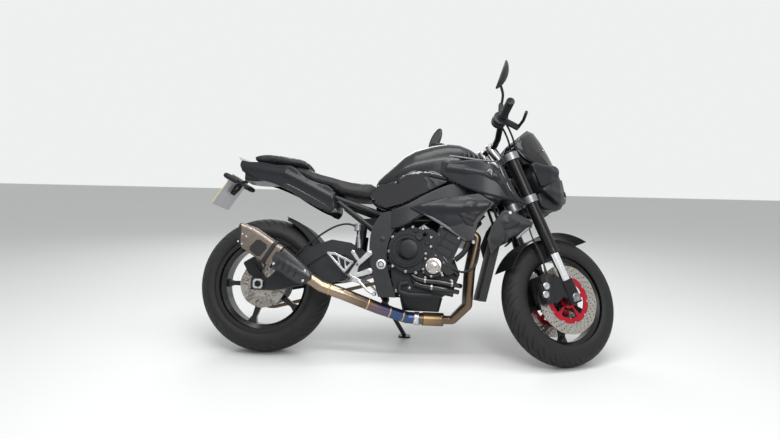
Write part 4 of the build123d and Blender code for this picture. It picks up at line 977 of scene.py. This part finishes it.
shells, glasses = [], []
for hand in (1, -1):
    centre = (932, -343 * hand, 1210)
    shells.append(tube_of(leaf(centre, hand, (
        (0.01, 27), (0.3, 25), (0.55, 20), (0.75, 13.5), (0.9, 7), (1.0, 0), (1.0, -4), (0.97, -6),
        (0.93, -5.5), (0.93, -2))), closed=False))
    glasses.append(tube_of(leaf(centre, hand, ((0.94, -3.5), (0.4, -3.5), (0.01, -3.5))), closed=False))
mirror_shells = joined("mirror_shells", shells, satin_black, "steering", fork)
glass = finish("mirror_glass", (0.05, 0.055, 0.06), 0.05, 1.0, 0.0, 10, 0.02)
joined("mirror_glasses", glasses, glass, "steering", fork)


def rod(name, runs, radius, coat, body, place=chassis, sides=14):
    """Round bars, stalks or held hoses along smooth lines through points."""
    parts = []
    for run in runs:
        run = [Vector(point) for point in run]
        line = []
        for k in range(len(run) - 1):
            before, a, b, after = run[max(0, k - 1)], run[k], run[k + 1], run[min(len(run) - 1, k + 2)]
            steps = max(3, int((b - a).length / 9))
            for part in range(steps):
                t = part / steps
                line.append(0.5 * ((2 * a) + (b - before) * t + (2 * before - 5 * a + 4 * b - after) * t * t
                                   + (3 * a - before - 3 * b + after) * t * t * t))
        line.append(run[-1])
        rings = []
        side_way = (line[1] - line[0]).orthogonal().normalized()
        for k, spot in enumerate(line):
            way = (line[min(k + 1, len(line) - 1)] - line[max(k - 1, 0)]).normalized()
            side_way = (side_way - way * side_way.dot(way)).normalized()
            up_way = way.cross(side_way)
            rings.append([tuple(spot + (side_way * math.cos(2 * math.pi * j / sides)
                                        + up_way * math.sin(2 * math.pi * j / sides)) * radius)
                          for j in range(sides)])
        parts.append(tube_of(rings))
    thing = joined(name, parts, coat, body, place)
    return thing


rod("mirror_stems", [[(973, -260 * hand, 1088), (973, -262 * hand, 1106), (966, -290 * hand, 1138),
                      (944, -322 * hand, 1142), (926, -338 * hand, 1160), (920, -341 * hand, 1176)]
                     for hand in (1, -1)], 6, satin_black, "steering", fork)
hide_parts("mirrors")
boss_profile = ((12, -10), (13, 0), (12, 26), (8, 34), (7, 36))
joined("mirror_bosses", [turned((973, -260 * hand, 1086), (0, 0, 1), boss_profile, 20) for hand in (1, -1)],
       satin_black, "steering", fork)

# Hand controls: the brake fluid pots with their caps, the switch pods with their buttons, and the
# ribbed rubber grips.
pot_profile = ((18, -14), (20, -12), (20, 14), (22, 15), (22, 21), (20, 23), (14, 23), (13, 21), (0, 21))
pod_profile = ((24, -26), (31, -23), (33, -6), (28, -4), (28, -2), (34, 0), (33, 20), (24, 24))
pot_parts, pod_parts, button_parts = [], [], []
for hand in (1, -1):
    pot_parts.append(turned((1006, -226 * hand, 1072), (0.1, 0, 1), pot_profile, 32))
    pod_parts.append(turned((970, -246 * hand, 1043), (0.28, 0.957 * hand, -0.04), pod_profile, 28))
    button_parts.append(turned((948, -236 * hand, 1052), (-0.8, 0, 0.6),
                               ((6, 0), (6, 5), (4, 6.5), (0, 6.5)), 20))
    button_parts.append(turned((950, -252 * hand, 1040), (-0.95, 0, 0.1),
                               ((5, 0), (5, 4), (3, 5), (0, 5)), 20))
joined("fluid_pots", pot_parts, satin_black, "steering", fork)
joined("switch_pods", pod_parts, satin_black, "steering", fork)
joined("switch_buttons", button_parts, tail_red, "steering", fork)
grip_profile = [(radius, low + k * 4.4) for k in range(26)
                for radius, low in ((17.2, 2), (18.3, 3), (18.3, 5), (17.2, 6))]
grip_rings = []
for hand in (1, -1):
    grip_rings.append(turned((932, -400 * hand, 1048), (0.284, 0.957 * hand, -0.043), grip_profile, 28))
    grip_rings.append(turned((932, -400 * hand, 1048), (-0.284, -0.957 * hand, 0.043),
                             ((17, -14), (18.2, -12), (18.2, -3), (15, 0), (0, 0)), 28))
joined("grip_ribs", grip_rings, rubber, "steering", fork)

# Hoses and cables that the handlebar, the clamps and the fork hold, and those of the engine.
rod("bar_hoses", [
    [(1010, -226, 1054), (1056, -192, 1036), (1108, -146, 1004), (1150, -104, 936), (1178, -70, 860),
     (1180, -58, 790)],
    [(980, -232, 1034), (1034, -186, 1024), (1092, -128, 1004), (1140, -70, 958), (1160, -46, 900),
     (1165, -40, 830)],
    [(1010, 226, 1054), (1056, 192, 1036), (1108, 146, 1004), (1150, 100, 936), (1176, 62, 860),
     (1180, 50, 790)],
    [(980, 232, 1034), (1034, 186, 1024), (1092, 126, 1004), (1140, 60, 950), (1160, 36, 900),
     (1165, 30, 830)],
], 4.5, rubber, "steering", fork)
rod("front_brake_lines", [[up_fork(300, -70 * hand, -44), up_fork(220, -92 * hand, -58),
                           up_fork(140, -100 * hand, -84), (1274, -98 * hand, 400)] for hand in (1, -1)],
    4, rubber, "steering", fork)
rod("rear_brake_line", [[(60, -118, 392), (120, -132, 420), (230, -140, 520), (330, -150, 590),
                         (400, -150, 612), (446, -150, 596), (452, -150, 560)]],
    4.5, rubber, "chassis")
rod("coolant_upper", [[(1010, -120, 640), (985, -168, 610), (965, -186, 560), (940, -186, 500),
                       (900, -180, 462)]], 12, rubber, "chassis", sides=20)
rod("engine_wires", [[(870, -178, 440), (900, -190, 420), (940, -186, 410), (990, -170, 440),
                      (1010, -150, 520)],
                     [(640, -168, 610), (700, -172, 632), (780, -176, 640), (850, -178, 668)]],
    5, rubber, "chassis")

# Rear: the master cylinder and its reservoir, the square axle blocks, the hugger's side wings.
master = [turned((452, -152, 596), (0, 0, 1),
                 ((14, -16), (16, -14), (16, 10), (18, 11), (18, 16), (14, 18), (0, 18)), 24),
          turned((462, -156, 520), (-0.1, 0, 1), ((8, -20), (11, -18), (11, 22), (8, 24), (8, 44)), 20)]
joined("rear_master", master, clamp_grey, "chassis")
panel("axle_block", ((-24, 298), (22, 298), (22, 343), (-24, 343)), lambda x, z: 153, silver, roll=3,
      rim=6, step=7, turn=1)
axle_ends = [turned((0, hand * 153, rear_radius), (0, hand, 0),
                    ((16, -4), (16, 6), (14, 9), (9, 9), (8.5, 2), (0, 2)), 6) for hand in (-1, 1)]
joined("rear_axle_nuts", axle_ends, black_tube, "chassis")
wing = []
for k in range(19):
    angle = math.radians(14 + k * 3.2)
    wing.append((340 * math.cos(angle), rear_radius + 340 * math.sin(angle)))
for k in range(18, -1, -1):
    angle = math.radians(14 + k * 3.2)
    deep = 60 - k * 2.4
    wing.append(((340 - deep) * math.cos(angle), rear_radius + (340 - deep) * math.sin(angle)))
panel("hugger_wing", wing, lambda x, z: 92, satin_black, roll=4, rim=8, step=8, turn=0)

# Brake discs: floating steel rings drilled in slanted rows, with a scalloped edge, held to their
# carriers by round buttons.
def drilled_ring(middle, out, outer, inner, thick, rows, waves=0):
    """Points and faces of a ring drilled by rows of (radius, count, turn, hole)."""
    def circle(x, z, radius, count, wave=0):
        ring = []
        for k in range(count):
            angle = 2 * math.pi * k / count
            reach = radius + wave * math.cos(waves * 2 * math.pi * k / count)
            ring.append(Vector((x + reach * math.cos(angle), z + reach * math.sin(angle))))
        return ring

    loops = [circle(0, 0, outer, 180, 1.2 if waves else 0), circle(0, 0, inner, 120)]
    holes = []
    for radius, count, turn, hole in rows:
        for k in range(count):
            angle = 2 * math.pi * k / count + turn
            holes.append((radius * math.cos(angle), radius * math.sin(angle), hole))
            loops.append(circle(*holes[-1][:2], hole, 10))
    flat, edges = [], []
    for loop in loops:
        start = len(flat)
        flat += loop
        edges += [(start + k, start + (k + 1) % len(loop)) for k in range(len(loop))]
    spots, _, triangles, *_ = geometry.delaunay_2d_cdt(flat, edges, [], 0, 1e-5)
    kept = []
    for triangle in triangles:
        x = sum(spots[k].x for k in triangle) / 3
        z = sum(spots[k].y for k in triangle) / 3
        in_hole = any(math.hypot(x - a, z - b) <= hole * 0.96 for a, b, hole in holes)
        if inner < math.hypot(x, z) < outer + 1 and not in_hole:
            kept.append(tuple(triangle))
    count = len(spots)
    points = [(middle[0] + p.x, out - thick / 2, middle[1] + p.y) for p in spots]
    points += [(x, out + thick / 2, z) for x, _, z in points]
    faces = kept + [tuple(count + k for k in reversed(face)) for face in kept]
    around = set()
    for face in kept:
        for a, b in zip(face, face[1:] + face[:1]):
            around.add((a, b))
    faces += [(b, a, a + count, b + count) for a, b in around if (b, a) not in around]
    return points, faces


button_r = 112
front_rings, buttons = [], []
for hand in (-1, 1):
    front_rings.append(drilled_ring((wheelbase, front_radius), hand * 66, 159, button_r, 5, (
        (150, 30, 0.0, 3.4), (139, 30, 0.07, 3.4), (128, 30, 0.14, 3.4), (119, 30, 0.21, 2.6)), 10))
    for k in range(10):
        angle = 2 * math.pi * k / 10
        spot = (wheelbase + button_r * math.cos(angle), hand * 69, front_radius + button_r * math.sin(angle))
        buttons.append(turned(spot, (0, hand, 0), ((8, -8), (8, 1), (6.5, 2), (4, 2), (3.6, 0), (0, 0)), 20))
front_drilled = joined("front_discs_drilled", front_rings, disc_steel, "front_wheel", fork)
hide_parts("front_discs")
joined("front_disc_buttons", buttons, bolt_steel, "front_wheel", fork)
rear_drilled = joined("rear_disc_drilled", [drilled_ring((0, rear_radius), -66, 110, 58, 5, (
    (101, 24, 0.0, 3.4), (89, 24, 0.08, 3.4), (77, 24, 0.16, 3.4), (66, 24, 0.24, 2.6)), 8)],
    disc_steel, "rear_wheel")
rear_hub = [turned((0, -44, rear_radius), right,
                   ((62, -2), (62, 14), (58, 19), (40, 21), (34, 20), (30, 14)), 40)]
for k in range(5):
    angle = k * 1.2566
    rear_hub.append(bolt((50 * math.cos(angle), -64, rear_radius + 50 * math.sin(angle)), right, 5))
rear_carrier = joined("rear_disc_carrier", rear_hub, black_tube, "rear_wheel")

# Footrest brackets: forged silver arms that meet at the rest's boss, an open heel guard, ribbed
# rests and the arms of the pedals, held by bolts.
def strut(one, other, low, thick, hand):
    """A flat arm with round ends between two (x, z, radius) points, chamfered on its outer face."""
    (ax, az, ar), (bx, bz, br) = one, other
    turn = math.atan2(bz - az, bx - ax)
    spread = math.acos(max(-1, min(1, (ar - br) / math.hypot(bx - ax, bz - az))))
    outline = []
    for x, z, radius, start, end in ((ax, az, ar, turn + spread, turn + 2 * math.pi - spread),
                                     (bx, bz, br, turn - spread, turn + spread)):
        for k in range(11):
            angle = start + (end - start) * k / 10
            outline.append((x, z, radius, angle))
    rings = []
    for inset, out in ((0, low), (0, low + thick - 2.5), (2.5, low + thick)):
        rings.append([(x + (radius - inset) * math.cos(angle), -hand * out,
                       z + (radius - inset) * math.sin(angle)) for x, z, radius, angle in outline])
    return tube_of(rings)


bracket_parts, rest_parts, rubber_parts = [], [], []
for hand in (1, -1):
    for one, other, low, thick in (
            ((515, 478, 13), (462, 424, 9), 178, 12), ((462, 424, 9), (430, 364, 14), 178, 12),
            ((440, 480, 9), (474, 434, 7), 180, 9), ((520, 398, 13), (452, 372, 10), 178, 12),
            ((430, 364, 14), (476, 350, 9), 180, 12), ((462, 424, 9), (452, 372, 8), 180, 9),
            ((326, 472, 6), (356, 470, 6), 182, 5), ((352, 472, 5), (438, 434, 6), 182, 5),
            ((326, 470, 5), (404, 392, 6), 182, 5), ((404, 392, 6), (438, 434, 6), 182, 5),
            ((372, 462, 4), (384, 414, 4), 183, 4), ((404, 448, 4), (410, 402, 4), 183, 4)):
        bracket_parts.append(strut(one, other, low, thick, hand))
    for x, z in ((515, 478), (520, 398), (440, 480)):
        bracket_parts.append(bolt((x, -hand * 191, z), (0, -hand, 0), 6))
    rest_parts.append(turned((430, -hand * 190, 364), (0, -hand, 0),
                             ((15, -4), (15, 8), (12, 12), (9, 12), (9, 20)), 28))
    ribs = [(10, 20)]
    for k in range(6):
        ribs += [(13, 22 + k * 9), (13, 26 + k * 9), (11, 27 + k * 9), (11, 30 + k * 9)]
    rubber_parts.append(turned((430, -hand * 190, 364), (-0.12, -hand, 0.05), ribs + [(8, 78), (0, 78)], 20))
    rest_parts.append(turned((548, -hand * 196, 296), (0, -hand, 0),
                             ((8, 0), (9, 2), (9, 40), (7, 43), (0, 43)), 20))
brackets = joined("footrest_brackets", bracket_parts, silver, "chassis")
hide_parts("footrests")
joined("footrest_bosses", rest_parts, silver, "chassis")
joined("footrest_pegs", rubber_parts, black_tube, "chassis")
rod("pedal_arms", [[(474, -192 * hand, 350), (496, -198 * hand, 330), (520, -202 * hand, 308),
                    (548, -206 * hand, 296)] for hand in (1, -1)],
    6.5, silver, "chassis")

# Nose: a shell lofted round the lamps behind the side facets, the two stays that hold it to the
# clamps, the base of the screen, and the handlebar's risers with their caps.
nose_rings = [rounded_ring(x, half, low, high, 36, 0.5, 0.6) for x, half, low, high in (
    (1226, 112, 862, 926), (1262, 116, 806, 938), (1310, 118, 770, 936), (1360, 112, 756, 940),
    (1392, 98, 758, 928), (1414, 80, 766, 896), (1426, 62, 778, 868))]
nose = joined("nose_shell", [tube_of(nose_rings)], satin_black, "steering", fork)
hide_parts("headlight_cowl")
stay_parts = [turned(up_fork(up, 0, 24), (0.9135, 0, 0.4067),
                     ((22, 0), (22, reach), (18, reach + 4), (0, reach + 4)), 24)
              for up, reach in ((487, 60), (700, 70))]
joined("nose_stays", stay_parts, matt_black, "steering", fork)
panel("screen_base", ((1182, 930), (1176, 1062), (1214, 1090), (1256, 1050), (1300, 1002), (1346, 946),
                      (1330, 936), (1240, 936)),
      lambda x, z: between(((930, 94), (1000, 84), (1090, 60)), z), matt_black, "steering", fork, roll=6,
      rim=14, folds=(((1200, 1040), (1310, 945), 4, 14),))
riser_out = 38
rod("risers", [[up_fork(726, riser_out * hand, -18), (1052, riser_out * hand, 994),
                (1048, riser_out * hand, 1010)] for hand in (1, -1)],
    19, silver, "steering", fork, sides=20)
riser_caps = [turned((1048, riser_out * hand, 1008), (-0.4, 0, 0.9),
                     ((23, -14), (24, 4), (23, 18), (18, 22), (0, 22)), 24) for hand in (1, -1)]
joined("riser_caps", riser_caps, silver, "steering", fork)

# Plate: the grey back shows, and the coloured front wraps at its edge as a thin line. A forked
# black holder carries it and the stalks of the two indicators.
plate_way = Vector((-0.843, 0, 0.538))
plate_up = Vector((0.538, 0, 0.843))


def plate_sheet(low, high, wide, tall):
    """A flat sheet of a half width and a half height, between two depths behind the plate."""
    centre = Vector((-222, 0, 768))
    corners = [(-wide, -tall), (wide, -tall), (wide, tall), (-wide, tall)]
    points = [tuple(centre + Vector((0, y, 0)) + plate_up * z + plate_way * t)
              for t in (low, high) for y, z in corners]
    return points, [(0, 1, 2, 3), (4, 5, 6, 7), (0, 1, 5, 4), (1, 2, 6, 5), (2, 3, 7, 6), (3, 0, 4, 7)]


plate_back = joined("plate_back", [plate_sheet(0, 1.6, 110, 86)], plate_white, "chassis", smooth=False)
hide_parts("number_plate")
plate_face = joined("plate_face", [plate_sheet(1.7, 3.2, 112, 87)], plate_yellow, "chassis", smooth=False)
holder = rod("plate_holder", [[(-40, 0, 852), (-110, 0, 838), (-171, 0, 820)],
                              [(-171, -116, 820), (-171, 0, 818), (-171, 116, 820)],
                              [(-171, -8, 818), (-190, -24, 794), (-212, -10, 762)],
                              [(-171, 8, 818), (-190, 24, 794), (-212, 10, 762)]], 8, matt_black, "chassis")
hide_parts("plate_bracket")
pods = [turned((-214, 120 * hand, 837), (0.9, 0, -0.43),
               ((3, -2), (9, 0), (13, 8), (14, 22), (14, 60), (11, 76), (0, 84)), 24) for hand in (1, -1)]
joined("indicator_pods", pods, matt_black, "chassis")

# Tail's rear: a closed moulding between the two sides, with a clear strip over its lamp.
tail_rings = [rounded_ring(x, half, low, high, 28, 0.45, 0.45) for x, low, high, half in (
    (0, 842, 896, 84), (-60, 834, 908, 78), (-110, 842, 912, 68), (-148, 868, 920, 56), (-162, 892, 926, 50))]
joined("tail_shell", [tube_of(tail_rings)], satin_black, "chassis")
panel("tail_clear_strip", ((-180, 948), (-112, 920), (-108, 912), (-164, 924)),
      lambda x, z: between(((-180, 48), (-108, 74)), x), plate_white, roll=3, rim=16, step=7,
      turn=1)

# Engine's right side: ribs of the cylinder block, bosses under the cover bolts, the oil filler with
# the plug beside it, and three pipes that run low past the covers, in clips.
rib_parts = [strut(one, other, 182, 8, 1) for one, other in (
    ((858, 580, 4), (810, 500, 4)), ((928, 556, 4), (876, 470, 4)), ((830, 565, 4), (906, 528, 4)),
    ((812, 502, 4), (872, 470, 4)), ((846, 600, 4), (936, 560, 4)), ((820, 534, 4), (892, 500, 4)))]
boss_parts = [turned((x, -160, z), right, ((11, 0), (10, 17), (9, 18.5), (5, 18.5)), 20)
              for x, z in cover_bolt_places]
for turn in (20, 68, -28):
    angle = math.radians(turn)
    boss_parts.append(turned((clutch_x + 96 * math.cos(angle), -162, clutch_z + 96 * math.sin(angle)), right,
                             ((13, 0), (12, 17), (10, 19), (0, 19)), 24))
joined("engine_ribs", rib_parts + boss_parts, engine_satin, "chassis")
plug_parts = [turned((742, -184, 566), right, ((15, -8), (15, 10), (12, 16), (6, 16), (5, 12), (0, 12)), 24),
              turned((764, -184, 574), (0.5, -1, 0.4), ((8, -6), (8, 14), (6, 20), (0, 20)), 16)]
joined("oil_filler", plug_parts, gloss_black, "chassis")
rod("low_pipes", [
    [(700, -150, 404), (722, -168, 380), (760, -176, 366), (840, -178, 360), (900, -172, 352),
     (930, -150, 348)],
    [(712, -146, 372), (740, -166, 348), (790, -174, 338), (860, -174, 330), (920, -150, 320)],
    [(790, -150, 470), (812, -170, 496), (850, -178, 470), (880, -176, 430), (916, -168, 400)]],
    10.5, gloss_black, "chassis", sides=18)
clip_parts = [turned((x, -176, z), (1, 0, -0.05), ((11.5, -5), (13, -4), (13, 4), (11.5, 5)), 24)
              for x, z in ((770, 366), (890, 354), (800, 337))]
clip_parts += [bolt((x, -186, z), right, 4) for x, z in ((770, 378), (890, 366), (834, 410), (846, 392))]
joined("pipe_clips", clip_parts, bolt_steel, "chassis")

# Radiator side covers: a dark cut-out, a slot and a bright strip, with the two bolts that hold them.
def wing_at(x, z):
    """How far out the cut-outs of a radiator cover stand, before their own height."""
    return 206 + between(((1040, -4), (1130, 6), (1240, -8)), x)


panel("wing_cutout", ((1112, 640), (1126, 654), (1190, 638), (1150, 612), (1106, 600)),
      lambda x, z: wing_at(x, z) + 4, matt_black, roll=4, rim=8, step=7, turn=1)
panel("wing_slot", ((1116, 590), (1130, 592), (1128, 546), (1114, 540)),
      lambda x, z: wing_at(x, z) + 4, matt_black, roll=3, rim=8, step=6, turn=1)
panel("wing_strip", ((1219, 622), (1224, 612), (1170, 562), (1163, 570)),
      lambda x, z: wing_at(x, z) + 5, edge_grey, roll=2, rim=8, step=6, turn=1)
wing_bolts = [bolt((x, -y * hand, z), (0, -hand, 0), 6) for hand in (1, -1) for x, y, z in
              ((1136, 214, 678), (978, 216, 541))]
joined("wing_bolts", wing_bolts, bolt_steel, "chassis")

# Nose chin: a dark moulded wedge below the lamps, in front of the lower clamp.
panel("nose_chin", ((1256, 786), (1290, 800), (1380, 786), (1446, 792), (1404, 738), (1376, 726), (1300, 716),
                    (1262, 730)),
      lambda x, z: between(((1256, 104), (1380, 84), (1450, 50)), x), satin_black, "steering", fork, roll=6,
      rim=30, folds=(((1270, 760), (1420, 768), 5, 18),))
chin_rings = [rounded_ring(x, half, low, high, 20, 0.5, 0.6) for x, low, high, half in (
    (1262, 728, 790, 98), (1330, 722, 780, 92), (1385, 734, 776, 74), (1425, 764, 786, 52))]
joined("nose_chin_core", [tube_of(chin_rings)], matt_black, "steering", fork)
